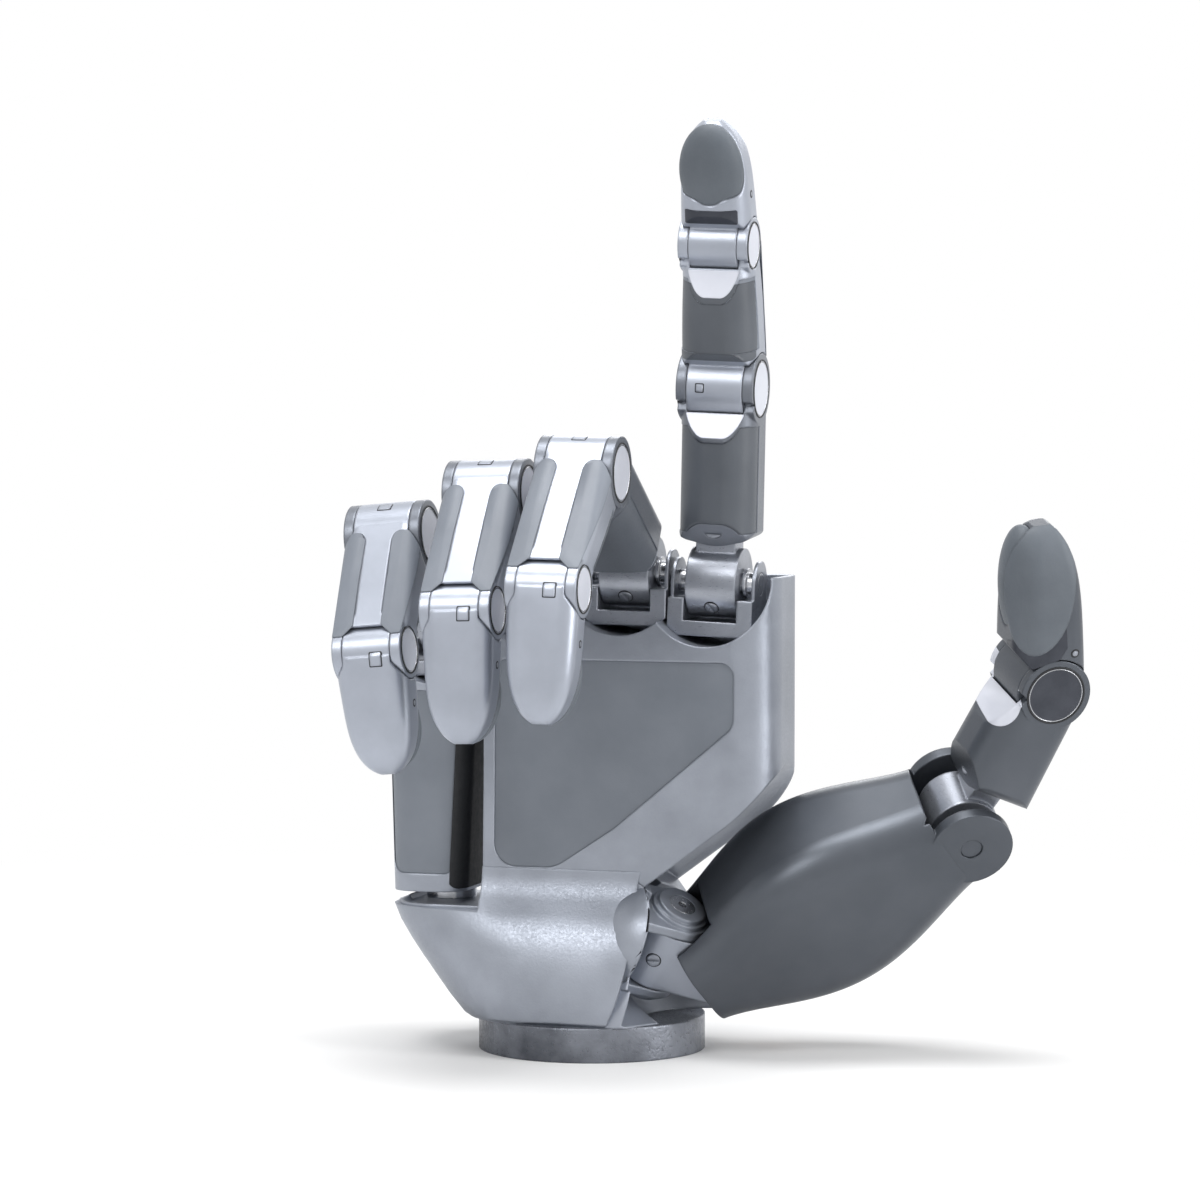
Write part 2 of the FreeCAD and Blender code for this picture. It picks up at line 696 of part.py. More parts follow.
def build_palm():
    """Cup-footed palm shell with a notch for the little finger's metacarpal."""
    half_depth = "palm_depth/2"
    rows = (("foot", "flange_height", "cup_width", "cup_depth/2", "cup_depth/2", "cup_corner", "0"),
            ("cup", "cup_top", "palm_width - 3", half_depth + " + 1", half_depth, "palm_corner + 2",
             "0"),
            ("middle", "0.6*palm_top", "palm_width", half_depth, half_depth, "palm_corner", "0"),
            ("upper", "palm_top", "palm_width", half_depth, half_depth, "palm_corner", "0"))
    outlines = [section("palm_" + label, z, width, front, back, corner, corner)
                for label, z, width, front, back, corner, x in rows]
    foot = loft("palm_foot_form", outlines[:2], True)
    trunk = loft("palm_trunk_form", outlines[1:], True)
    face, core = [sunk_form("palm_" + depth, rows[1:], depth) for depth in ("pad_recess", "skin_depth")]
    blank = joined("palm_blank", [foot, trunk])
    outline = rounded_outline("palm_pad_outline", (
        (-18.0, 41.0, 5.0), (-4.0, 41.0, 8.0), (9.5, 50.0, 10.0), (36.0, 72.5, 4.0),
        (36.0, 86.3, 3.0), (-18.0, 86.3, 3.0)))
    pad = shared("palm_pad_solid", [cut("palm_skin", trunk, [core]),
                                    prism("palm_pad_window", outline, "25")])
    notch = box("palm_notch", "-60", "-40", "cup_top + 1", "60 + fold_wall", "80", "120")
    scallops = []
    for finger in ("index", "middle", "ring"):
        reach = "60 + knuckle_y + bracket_back"
        scallops.append(cylinder(finger + "_scallop", "Y", "scallop_radius", reach,
                                 finger + "_x", "-60", finger + "_z"))
        scallops.append(box(finger + "_clear", finger + "_x - scallop_radius", "-60", finger + "_z",
                            "2*scallop_radius", reach, "40"))
    spindle_seat = cylinder("palm_spindle_seat", "Z", "spindle_radius + fit_gap",
                            "spindle_sink + 20", "fold_x", "fold_y", "cup_top + 1 - spindle_sink")
    back_frame = Placement(Vector(0, value("palm_depth") / 2, 0), Rotation(X, 90))
    cover_seat = set_in(cover_form("palm_cover_seat"), back_frame)
    screw_holes = set_in(cover_screws("palm_screw_holes", "cover_screw_radius + fit_gap",
                                      "cover_screw_radius + fit_gap", "6.1"), back_frame)
    room = cylinder("palm_socket_room", "Z", "socket_radius + seat_gap",
                    "2*socket_half + 2*seat_gap", "0", "0", "-socket_half - seat_gap")
    side = box("palm_socket_side", "-0.5*socket_radius", "-60", "-socket_half - seat_gap",
               "90", "60 + 0.5*socket_radius", "2*socket_half + 2*seat_gap")
    pocket = ellipsoid("palm_pocket", "pocket_radius", "pocket_radius", "pocket_radius", "root_reach")
    lane = doc.addObject("Part::Cylinder", "palm_lane")
    bind(lane, "Radius", "lane_radius")
    bind(lane, "Height", "root_length")
    lane_front = box("palm_lane_front", "-lane_radius", "-60", "-root_reach", "2*lane_radius", "60",
                     "root_length + root_reach")
    lane_lean = 90 - value("thumb_bend_root") - value("lane_turn")
    lane = set_in(joined("palm_lanes", [lane, lane_front]),
                  Placement(Vector(value("root_reach"), 0, 0), Rotation(Y, lane_lean)))
    hollow = set_in(joined("palm_hollow", [room, side, pocket, lane]), frames["thumb_root"])
    keep(cut("palm_shell_solid", blank, [notch, spindle_seat, pad, cover_seat, screw_holes, hollow]
             + scallops), "palm_shell", Placement())
    keep(shared("palm_pad_sunk", [pad, face]), "palm_pad", Placement())
    drilled = cut("cover_solid", cover_form("cover_blank"),
                  [cover_screws("cover_holes", "cover_screw_radius + fit_gap",
                                "1.75*cover_screw_radius + fit_gap", "6")])
    keep(drilled, "back_cover", back_frame)
    keep(cover_screws("cover_screws", "cover_screw_radius", "1.75*cover_screw_radius", "6"),
         "cover_screws", back_frame)
    return blank


def build_brackets():
    """Brackets and cross shafts of the index, middle and ring fingers, and of the little finger."""
    brackets, shafts = [], []
    for finger in ("index", "middle", "ring"):
        brackets.append(set_in(bracket(finger + "_bracket"), frames[finger + "_base"]))
        shafts.append(set_in(shaft(finger + "_shaft", "ear_inner + ear_thickness"),
                             frames[finger + "_base"]))
    keep(joined("knuckle_brackets_group", brackets), "knuckle_brackets", Placement())
    keep(joined("knuckle_shafts_group", shafts), "knuckle_shafts", Placement())
    keep(bracket("little_bracket"), "little_finger_bracket", frames["little_base"])
    keep(shaft("little_shaft", "ear_inner + ear_thickness"), "little_finger_shaft",
         frames["little_base"])


def build_fold():
    """The little finger's metacarpal, which turns on a spindle set in the cup of the palm."""
    outer = "palm_width/2"
    half = "palm_depth/2 - 0.6"
    rows = (("low", "fold_bottom", "%s - 1.4 + fold_inner - 2.2" % outer, half, half, "fold_corner",
             "(fold_inner - 2.2 - %s + 1.4)/2" % outer),
            ("high", "fold_top", "%s + fold_inner" % outer, half, half, "fold_corner",
             "(fold_inner - %s)/2" % outer))
    outlines = [section("fold_" + label, z, width, front, back, corner, corner, x)
                for label, z, width, front, back, corner, x in rows]
    blank = loft("fold_blank", outlines, True)
    face, core = [sunk_form("fold_" + depth, rows, depth) for depth in ("pad_recess", "skin_depth")]
    outline = rounded_outline("fold_pad_outline", ((-42.6, 38.5, 3.0), (-27.5, 38.5, 3.0),
                                                   (-25.8, 79.0, 3.0), (-44.2, 79.0, 3.0)))
    pad = shared("fold_pad_solid", [cut("fold_skin", blank, [core]),
                                    prism("fold_pad_window", outline, "25")])
    scallop = set_in(joined("fold_scallop", [
        cylinder("fold_scallop_round", "Y", "scallop_radius", "80 + bracket_back", "0", "-80"),
        box("fold_scallop_open", "-scallop_radius", "-80", "0", "2*scallop_radius",
            "80 + bracket_back", "40")]), frames["little_base"])
    bore = cylinder("fold_bore", "Z", "spindle_radius + bore_gap", "26", "fold_x", "fold_y",
                    "fold_bottom - 1")
    keep(cut("fold_shell_solid", blank, [pad, scallop, bore]), "little_metacarpal_shell", Placement())
    keep(shared("fold_pad_sunk", [pad, face]), "little_metacarpal_pad", Placement())
    spindle = cylinder("spindle_rod", "Z", "spindle_radius", "spindle_sink + 24", "fold_x", "fold_y",
                       "cup_top + 1 - spindle_sink")
    collar = cylinder("spindle_collar", "Z", "spindle_radius + 2.6", "fold_bottom - cup_top - 1.3",
                      "fold_x", "fold_y", "cup_top + 1")
    keep(joined("spindle_solid", [spindle, collar]), "metacarpal_spindle", Placement())


def build_thumb_root(palm_blank):
    """Socket in the palm, root block on its shaft, and the pin to the metacarpal."""
    frame = frames["thumb_root"]
    back = cylinder("socket_back", "Z", "socket_radius", "2*socket_half", "0", "0", "-socket_half")
    open_side = box("socket_open", "-0.5*socket_radius", "-60", "-socket_half - 1", "90",
                    "120", "2*socket_half + 2")
    wall = shared("socket_wall", [set_in(cut("socket_tube", back, [open_side]), frame), palm_blank])
    rings = [cylinder("socket_ring_%d" % index, "Z", "boss_radius - %s" % inset, "2*(%s)" % half,
                      "0", "0", "-(%s)" % half)
             for index, (inset, half) in enumerate((("0", "socket_half - 2"),
                                                    ("0.9", "socket_half - 1"),
                                                    ("1.8", "socket_half")))]
    arms = box("socket_arms", "-0.6*socket_radius", "-boss_radius", "-socket_half + 2",
               "0.6*socket_radius", "2*boss_radius", "2*socket_half - 4")
    bosses = set_in(joined("socket_bosses", rings + [arms]), frame)
    gap = "root_block_half + turn_gap"
    middle = box("socket_middle", "-root_block_radius - 0.6", "-60", "-(%s)" % gap, "90",
                 "60 + root_block_radius + 0.6", "2*(%s)" % gap)
    eye = cylinder("socket_eye", "Z", "root_shaft_radius + fit_gap", "80", "0", "0", "-40")
    tools = set_in(joined("socket_tools", [middle, eye]), frame)
    keep(cut("socket_solid", joined("socket_body", [wall, bosses]), [tools]), "thumb_socket",
         Placement())
    rod = cylinder("root_shaft_rod", "Z", "root_shaft_radius", "2*socket_half", "0", "0",
                   "-socket_half")
    keep(cut("root_shaft_solid", rod, [cylinder("root_shaft_centre", "Z", "0.3*root_shaft_radius",
                                                "3", "0", "0", "socket_half - 1.5")]),
         "thumb_root_shaft", frame)

    barrel = cylinder("root_barrel", "Z", "root_block_radius", "2*root_block_half", "0", "0",
                      "-root_block_half")
    arm = box("root_arm", "0", "-root_block_radius", "-root_block_half", "root_reach",
              "2*root_block_radius - 1.2", "2*root_block_half")
    hub = cylinder("root_hub", "Y", "root_block_half", "2*root_block_radius - 1.2", "root_reach",
                   "-root_block_radius", "0")
    bores = [cylinder("root_bore", "Z", "root_shaft_radius + bore_gap", "60", "0", "0", "-30"),
             cylinder("root_pin_bore", "Y", "root_pin_radius + bore_gap", "60", "root_reach", "-30",
                      "0")]
    keep(cut("root_block_solid", joined("root_block_body", [barrel, arm, hub]), bores),
         "thumb_root_block", frames["thumb_root"])
    pin = cylinder("root_pin_rod", "X", "root_pin_radius", "2*root_pin_half", "-root_pin_half")
    keep(cut("root_pin_solid", pin, [cylinder("root_pin_centre", "X", "0.3*root_pin_radius", "3",
                                              "root_pin_half - 1.5")]),
         "thumb_root_pin", frames["thumb_bone"])


def build_thumb_bone():
    """Thumb metacarpal: a bulged shell, forked round the root block and round the second knuckle."""
    length = "root_length"
    rows = (("-3.5", "24.4", "11.5", "11.5"), ("8", "root_width - 2.5", "14.5", "14.5"),
            ("0.36*" + length, "root_width", "root_bulge/2 + 0.6", "root_bulge/2 + 0.2"),
            ("0.62*" + length, "root_width - 1", "root_bulge/2 - 0.4", "root_bulge/2 - 0.6"),
            (length + " + 5", "bone_end_width", "12.2", "12.2"))
    outlines = [section("bone_section_%d" % index, z, width, front, back, "8", "8")
                for index, (z, width, front, back) in enumerate(rows)]
    blank = loft("bone_blank", outlines)
    inner_half = "root_block_radius + 0.4"
    room = "bone_root_room"
    root_room = [cylinder("bone_root_room", "X", room, "2*(%s)" % inner_half, "-(%s)" % inner_half),
                 box("bone_root_open", "-(%s)" % inner_half, "-30", "-30", "2*(%s)" % inner_half,
                     "60", "30")]
    tip_room = [cylinder("bone_tip_room", "X", "bone_room_radius", "2*joint_room", "-joint_room",
                         "0", length),
                box("bone_tip_open", "-joint_room", "-30", length, "2*joint_room", "60", "30")]
    trimmed = cut("bone_trimmed", blank, [
        box("bone_above", "-40", "-40", length + " - 0.5*bone_ear_radius", "80", "80", "60")])
    ears = [cylinder("bone_ear_" + side, "X", "bone_ear_radius", "bone_end_width/2 - joint_room",
                     start, "0", length)
            for side, start in (("a", "joint_room"), ("b", "-bone_end_width/2"))]
    round_end = joined("bone_eared", [trimmed] + ears)
    bores = [cylinder("bone_pin_bore", "X", "root_pin_radius + fit_gap",
                      "2*root_pin_half + 0.2", "-root_pin_half - 0.1"),
             cylinder("bone_shaft_bore", "X", "shaft_radius + fit_gap", "60", "-30", "0", length)]
    keep(cut("bone_solid", round_end, root_room + tip_room + bores), "thumb_metacarpal",
         frames["thumb_bone"])
    strip = cut("ribbon_strip", cylinder("ribbon_outer", "X", room + " - seat_gap", "ribbon_width",
                                         "-0.5*ribbon_width"),
                [cylinder("ribbon_inner", "X", room + " - seat_gap - ribbon_thickness",
                          "ribbon_width + 2", "-0.5*ribbon_width - 1")])
    stretch = box("ribbon_stretch", "-10", "3", "0.5", "20", "30", "30")
    keep(shared("ribbon_solid", [strip, stretch]), "thumb_flex_ribbon", frames["thumb_bone"])
    keep(shaft("thumb_shaft_solid", "bone_end_width/2 - 0.3"), "thumb_middle_shaft",
         frames["thumb_base"])


def build_thumb_end():
    """Second knuckle, proximal segment, hinge and tip of the thumb."""
    keep(knuckle("thumb_knuckle_solid"), "thumb_middle_knuckle", frames["thumb_first"])
    length = "thumb_proximal"
    name = "thumb_proximal_solid"
    second, third = frames["thumb_second"], frames["thumb_third"]
    outlines = [section(name + "_low", "finger_foot", "thumb_width", "thumb_front", "thumb_back",
                        "front_corner", "back_corner + 1"),
                section(name + "_high", length, "thumb_width", "thumb_front - 0.7",
                        "thumb_back - 0.6", "front_corner", "back_corner + 1")]
    blank = shared(name + "_blank", [loft(name + "_form", outlines),
                                     foot_form(name + "_foot", "thumb_width")])
    bare = cut(name + "_bare", blank, swing_pocket(name, "finger_foot")
               + [foot_bevel(name, "finger_foot")])
    keep(hinge_end(name, bare, "ip", length, "thumb_width"), "thumb_proximal_shell", second)
    keep(axle("thumb_axle_solid", "ip", "thumb_width"), "thumb_tip_axle",
         second.multiply(moved(0, 0, value(length))))
    length = "thumb_distal"
    name = "thumb_tip_solid"
    blank = fingertip(name, length, "thumb_width", "thumb_tip_front", "thumb_tip_back")
    started = hinge_start(name, blank, "ip", "thumb_width")
    seat = pad_form(name + "_seat", length, "thumb_tip_width - 3", "thumb_tip_front", "seat_gap")
    keep(cut(name, started, [seat]), "thumb_tip_shell", third)
    keep(pad_form("thumb_pad_solid", length, "thumb_tip_width - 3", "thumb_tip_front"), "thumb_pad",
         third)


build_flange()
palm_blank = build_palm()
build_brackets()
build_fold()
build_thumb_root(palm_blank)
build_thumb_bone()
build_thumb_end()
for finger in FINGERS:
    build_finger(finger)
doc.recompute()


def report_faults():
    faults = []
    for item in doc.Objects:
        if "Invalid" in item.State or "Error" in item.State:
            faults.append("%s %s" % (item.Name, item.State))
    for item in pieces:
        if item.Shape.isNull() or not item.Shape.isValid():
            faults.append("%s has no valid shape" % item.Label)
    return faults


faults = report_faults()
if faults:
    raise RuntimeError("; ".join(faults))
for item in pieces:
    item.Shape.exportStep("parts/%s.step" % item.Label)
    print(item.Label, len(item.Shape.Solids), round(item.Shape.Volume))
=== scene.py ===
import json
import math

import bmesh
import bpy
from mathutils import Matrix, Vector
from mathutils.bvhtree import BVHTree


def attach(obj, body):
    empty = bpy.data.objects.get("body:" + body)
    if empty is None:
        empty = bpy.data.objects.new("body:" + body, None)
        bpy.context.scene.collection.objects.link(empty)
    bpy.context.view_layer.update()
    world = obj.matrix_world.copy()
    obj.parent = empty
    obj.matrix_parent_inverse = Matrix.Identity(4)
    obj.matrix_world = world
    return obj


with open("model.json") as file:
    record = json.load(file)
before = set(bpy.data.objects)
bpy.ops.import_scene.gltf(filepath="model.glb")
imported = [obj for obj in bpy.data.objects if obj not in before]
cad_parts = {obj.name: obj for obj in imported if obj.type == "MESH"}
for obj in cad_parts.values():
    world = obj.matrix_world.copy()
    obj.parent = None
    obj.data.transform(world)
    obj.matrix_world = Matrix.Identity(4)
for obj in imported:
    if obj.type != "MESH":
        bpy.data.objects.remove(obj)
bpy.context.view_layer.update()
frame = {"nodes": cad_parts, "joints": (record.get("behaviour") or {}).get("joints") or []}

# Shapes are drawn in millimetres, and finish_piece turns them into metres.
MM = 0.001


# Node materials. Every pattern reads Object coordinates, so its sizes are in metres.

# Noise mostly lies between these two values, so tone and gloss are spread over them.
NOISE_LOW, NOISE_HIGH = 0.3, 0.7
BEVEL_SAMPLES = 6


def new_material(name):
    material = bpy.data.materials.new(name)
    material.use_nodes = True
    return material, material.node_tree.nodes, material.node_tree.links


def noise(nodes, links, scale, detail, roughness, stretch=None):
    """A noise texture on Object coordinates, stretched along the axes when asked."""
    coords = nodes.new("ShaderNodeTexCoord")
    texture = nodes.new("ShaderNodeTexNoise")
    texture.inputs["Scale"].default_value = scale
    texture.inputs["Detail"].default_value = detail
    texture.inputs["Roughness"].default_value = roughness
    if stretch:
        mapping = nodes.new("ShaderNodeMapping")
        mapping.inputs["Scale"].default_value = stretch
        links.new(coords.outputs["Object"], mapping.inputs["Vector"])
        links.new(mapping.outputs["Vector"], texture.inputs["Vector"])
    else:
        links.new(coords.outputs["Object"], texture.inputs["Vector"])
    return texture.outputs["Fac"]


def tones(nodes, links, source, dark, light):
    """A colour ramp from dark to light."""
    node = nodes.new("ShaderNodeValToRGB")
    stops = ((NOISE_LOW, dark), (NOISE_HIGH, light))
    for element, (position, color) in zip(node.color_ramp.elements, stops):
        element.position = position
        element.color = (*color, 1.0)
    links.new(source, node.inputs["Fac"])
    return node.outputs["Color"]


def span(nodes, links, source, low, high, low_in=NOISE_LOW, high_in=NOISE_HIGH):
    """The source's values from low_in to high_in, spread from low to high."""
    node = nodes.new("ShaderNodeMapRange")
    node.inputs["From Min"].default_value = low_in
    node.inputs["From Max"].default_value = high_in
    node.inputs["To Min"].default_value = low
    node.inputs["To Max"].default_value = high
    links.new(source, node.inputs["Value"])
    return node.outputs["Result"]


def soft_edge(nodes, links, radius, height, distance):
    """Rounded edges from a Bevel node, with the bump laid over them."""
    bevel = nodes.new("ShaderNodeBevel")
    bevel.samples = BEVEL_SAMPLES
    bevel.inputs["Radius"].default_value = radius
    bump = nodes.new("ShaderNodeBump")
    bump.inputs["Strength"].default_value = 1.0
    bump.inputs["Distance"].default_value = distance
    links.new(height, bump.inputs["Height"])
    links.new(bevel.outputs["Normal"], bump.inputs["Normal"])
    return bump.outputs["Normal"]


def surface(name, dark, light, gloss, cloud, grain, edge, depth):
    """A material with clouds of tone and a fine grain in gloss and bump; gives its shader too.

    Cloud and grain hold a noise's scale, detail and roughness.
    """
    material, nodes, links = new_material(name)
    shader = nodes["Principled BSDF"]
    tone = noise(nodes, links, *cloud)
    fine = noise(nodes, links, *grain)
    links.new(tones(nodes, links, tone, dark, light), shader.inputs["Base Color"])
    links.new(span(nodes, links, fine, *gloss), shader.inputs["Roughness"])
    links.new(soft_edge(nodes, links, edge, fine, depth), shader.inputs["Normal"])
    return material, shader


def worn_metal(name, dark, light, metallic, gloss, grain, depth, edge, cloud=60.0, stretch=None):
    """Satin metal. The gloss is a pair of roughnesses, the grain and the cloud are noise scales."""
    material, shader = surface(name, dark, light, gloss, (cloud, 4.0, 0.6), (grain, 2.0, 0.6, stretch),
                               edge, depth)
    shader.inputs["Metallic"].default_value = metallic
    return material


def matte_skin(name, dark, light, rough, grain, depth, edge=0.0004, sheen=0.0):
    """Matte moulded surface with a fine pebble grain."""
    material, shader = surface(name, dark, light, (rough - 0.06, rough + 0.08), (90.0, 3.0, 0.5),
                               (grain, 3.0, 0.7), edge, depth)
    shader.inputs["Sheen Weight"].default_value = sheen
    return material


cast_metal = worn_metal("cast_metal", (0.25, 0.27, 0.31), (0.36, 0.385, 0.44), metallic=0.7,
                        gloss=(0.32, 0.46), grain=1800.0, depth=0.00003, edge=0.0007, cloud=38.0)
flange_metal = worn_metal("flange_metal", (0.055, 0.06, 0.072), (0.25, 0.265, 0.30), metallic=0.85,
                          gloss=(0.24, 0.50), grain=1300.0, depth=0.00008, edge=0.0007, cloud=55.0)
satin_metal = worn_metal("satin_metal", (0.34, 0.365, 0.42), (0.41, 0.44, 0.505), metallic=0.7,
                         gloss=(0.28, 0.40), grain=2600.0, depth=0.000003, edge=0.0006)
# Painted shade: a dark copy of the satin shell metal for the thumb's segments, standing in for the
# shade on them.
painted_shade_deep_satin = worn_metal("painted_shade_deep_satin", (0.075, 0.084, 0.099), (0.103, 0.113, 0.131), metallic=0.6,
                        gloss=(0.32, 0.44), grain=2600.0, depth=0.00001, edge=0.0006, cloud=30.0)
# Painted shade: a darker copy of satin_metal for the proximal shells, standing in for the shade on
# their faces.
painted_shade_satin = worn_metal("painted_shade_satin", (0.155, 0.168, 0.195), (0.19, 0.205, 0.236), metallic=0.65,
                          gloss=(0.30, 0.42), grain=2600.0, depth=0.000003, edge=0.0006)
# The light metal of the hinge caps. The crescents also use it as a painted highlight on the facets
# that face the light.
cap_metal_and_painted_highlight = worn_metal("cap_metal_and_painted_highlight", (0.60, 0.62, 0.69), (0.68, 0.70, 0.77), metallic=0.35,
                       gloss=(0.34, 0.44), grain=2000.0, depth=0.000001, edge=0.0003)
block_metal = worn_metal("block_metal", (0.27, 0.29, 0.33), (0.38, 0.40, 0.45), metallic=0.75,
                         gloss=(0.26, 0.40), grain=900.0, depth=0.000003, edge=0.0006,
                         stretch=(1.0, 1.0, 9.0))
bright_steel = worn_metal("bright_steel", (0.45, 0.46, 0.48), (0.58, 0.59, 0.62), metallic=0.95,
                          gloss=(0.16, 0.28), grain=1500.0, depth=0.000006, edge=0.0003, cloud=120.0)
# Dark steel of the thumb's axle. The necks also use it as painted shade in the recess between the pad
# and the shell.
dark_steel_and_painted_shade = worn_metal("dark_steel_and_painted_shade", (0.035, 0.039, 0.05), (0.06, 0.065, 0.08), metallic=0.6,
                        gloss=(0.30, 0.42), grain=1500.0, depth=0.000008, edge=0.0003, cloud=120.0)
# Black of the joint lines and grooves. The pin holes and the fold's lining use it as painted shade.
black_gap_and_painted_shade = matte_skin("black_gap_and_painted_shade", (0.008, 0.009, 0.011), (0.014, 0.015, 0.018), rough=0.6,
                       grain=900.0, depth=0.00001)
grey_panel_skin = matte_skin("grey_panel_skin", (0.170, 0.190, 0.222), (0.200, 0.221, 0.256),
                             rough=0.52, grain=2200.0, depth=0.00003)
finger_panel_skin = matte_skin("finger_panel_skin", (0.175, 0.195, 0.23), (0.205, 0.227, 0.265),
                               rough=0.48, grain=2200.0, depth=0.00002)
# Painted shade: a dark skin for the palm faces of the segments, standing in for their shading.
painted_shade_palm_skin = matte_skin("painted_shade_palm_skin", (0.076, 0.086, 0.102), (0.094, 0.105, 0.123),
                            rough=0.42, grain=2200.0, depth=0.00002)
fingertip_skin = matte_skin("fingertip_skin", (0.088, 0.103, 0.122), (0.115, 0.132, 0.154),
                            rough=0.58, grain=1700.0, depth=0.00003, edge=0.0006, sheen=0.06)
orange_film = matte_skin("orange_film", (0.55, 0.20, 0.06), (0.68, 0.27, 0.08), rough=0.35,
                         grain=900.0, depth=0.00001)

# The finish of each node: by its name, or else by how the name ends. The knuckle blocks and
# their brackets have the last finish.
NAMED_NODES = (
    (flange_metal, ("wrist_flange",)),
    (cast_metal, ("palm_shell", "little_metacarpal_shell", "thumb_socket")),
    (satin_metal, ("back_cover", "thumb_root_block")),
    (painted_shade_deep_satin, ("thumb_metacarpal", "thumb_proximal_shell", "thumb_tip_shell",
                  "thumb_middle_shaft")),
    (dark_steel_and_painted_shade, ("thumb_tip_axle",)),
    (bright_steel, ("cover_screws", "knuckle_shafts", "little_finger_shaft", "metacarpal_spindle",
                    "thumb_root_shaft", "thumb_root_pin")),
    (orange_film, ("thumb_flex_ribbon",)),
    (grey_panel_skin, ("palm_pad", "little_metacarpal_pad")),
)
NODE_FINISH = {node: finish for finish, nodes in NAMED_NODES for node in nodes}
ENDING_FINISH = (
    ("_proximal_panel", painted_shade_palm_skin), ("_panels", finger_panel_skin), ("_pad", fingertip_skin),
    ("_axle", cap_metal_and_painted_highlight), ("_proximal_shell", painted_shade_satin), ("_shell", satin_metal),
)


def finish_for(node):
    if node in NODE_FINISH:
        return NODE_FINISH[node]
    for ending, finish in ENDING_FINISH:
        if node.endswith(ending):
            return finish
    return block_metal


for node, item in frame["nodes"].items():
    item.data.materials.clear()
    item.data.materials.append(finish_for(node))


# Places on the hand, worked out from its joints. X is the hinge, Z runs to the fingertip and
# Y points to the back of the segment.

JOINTS = {joint["name"]: joint for joint in frame["joints"]}
FINGERS = ("index", "middle", "ring", "little")


def joint_place(name):
    return Vector(JOINTS[name]["pos_m"])


def node_points(node):
    return [vertex.co for vertex in frame["nodes"][node].data.vertices]


def tip_point(node, start):
    """The far end of a node, seen from start: the middle of what lies in its last half millimetre."""
    points = node_points(node)
    far = max((point - start).length for point in points)
    ends = [point for point in points if (point - start).length > far - 0.5 * MM]
    return sum(ends, Vector()) / len(ends)


def axes_at(origin, x, y, z):
    """The matrix of three axes at a point."""
    place = Matrix((x, y, z)).transposed().to_4x4()
    place.translation = origin
    return place


def segment_place(hinge, toward):
    """A matrix at a hinge, with Z towards a point and Y to the back."""
    origin = joint_place(hinge)
    x = Vector(JOINTS[hinge]["axis"]).normalized()
    z = toward - origin
    z = (z - x * z.dot(x)).normalized()
    return axes_at(origin, x, z.cross(x), z)


def moved(place, x=0.0, z=0.0):
    """The place moved by millimetres along its own axes."""
    return place @ Matrix.Translation((x * MM, 0, z * MM))


def turned(place, degrees, axis):
    """The place turned round one of its own axes."""
    return place @ Matrix.Rotation(math.radians(degrees), 4, axis)


def palm_side(place):
    """The same place looked at from the palm side: X, then Z upwards."""
    return turned(place, 90, "X")


def back_side(place):
    """The same place looked at from the back of the hand, with Z upwards."""
    return turned(palm_side(place), 180, "Y")


def side_face(place, side):
    """The same place looked at from its left (-1) or right (1) side, with Z upwards."""
    x, y, z = [place.to_3x3().col[index] for index in range(3)]
    return axes_at(place.translation, y * side, z, x * side)


def reach(node, place):
    """The lowest and highest local Z of a node, in millimetres."""
    inverse = place.inverted()
    heights = [(inverse @ point).z / MM for point in node_points(node)]
    return min(heights), max(heights)


# Tolerances in millimetres, and the angle in degrees past which an edge stays sharp.
MERGE_DISTANCE = 0.0005
CUT_TOLERANCE = 0.0001
SHARP_ANGLE = 35


def finish_piece(name, mesh, place, material, body):
    """Sets a mesh drawn in millimetres at its place on the hand."""
    bmesh.ops.remove_doubles(mesh, verts=mesh.verts, dist=MERGE_DISTANCE)
    bmesh.ops.recalc_face_normals(mesh, faces=mesh.faces)
    bmesh.ops.transform(mesh, matrix=place @ Matrix.Scale(MM, 4), verts=mesh.verts)
    data = bpy.data.meshes.new(name)
    mesh.to_mesh(data)
    mesh.free()
    for face in data.polygons:
        face.use_smooth = True
    data.set_sharp_from_angle(angle=math.radians(SHARP_ANGLE))
    data.materials.append(material)
    piece = bpy.data.objects.new(name, data)
    bpy.context.collection.objects.link(piece)
    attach(piece, body)


# Outlines in the XY plane, counterclockwise, in millimetres.

def rounded(left, right, low, high, corner, steps=5):
    """A rounded rectangle."""
    corners = ((right - corner, low + corner, -90), (right - corner, high - corner, 0),
               (left + corner, high - corner, 90), (left + corner, low + corner, 180))
    return [(x + corner * math.cos(math.radians(start + 90 * step / steps)),
             y + corner * math.sin(math.radians(start + 90 * step / steps)))
            for x, y, start in corners for step in range(steps + 1)]


def oval(half_width, half_height, x, y, steps=40):
    """An oval round the point x, y."""
    return [(x + half_width * math.cos(2 * math.pi * step / steps),
             y + half_height * math.sin(2 * math.pi * step / steps)) for step in range(steps)]


# Thin skins over the faces of the nodes. Lifts and thicknesses are in millimetres, and a lean is
# the share of a face's normal along an axis.

PATCH_THICKNESS, PATCH_LIFT, PATCH_LEAN = 0.12, 0.15, 0.15
FACET_THICKNESS, FACET_LIFT, FACET_LEAN = 0.08, 0.05, 0.12
ANY_RISE = -1.0
RAY_START = 0.01
NODE_MERGE_METRES = 0.000001


def clip(mesh, outline):
    """Keeps what lies inside a convex outline in the XY plane, seen along Z."""
    for start, end in zip(outline, outline[1:] + outline[:1]):
        bmesh.ops.bisect_plane(mesh, geom=mesh.verts[:] + mesh.edges[:] + mesh.faces[:],
                               dist=CUT_TOLERANCE, plane_co=(*start, 0),
                               plane_no=(end[1] - start[1], start[0] - end[0], 0),
                               clear_outer=True)


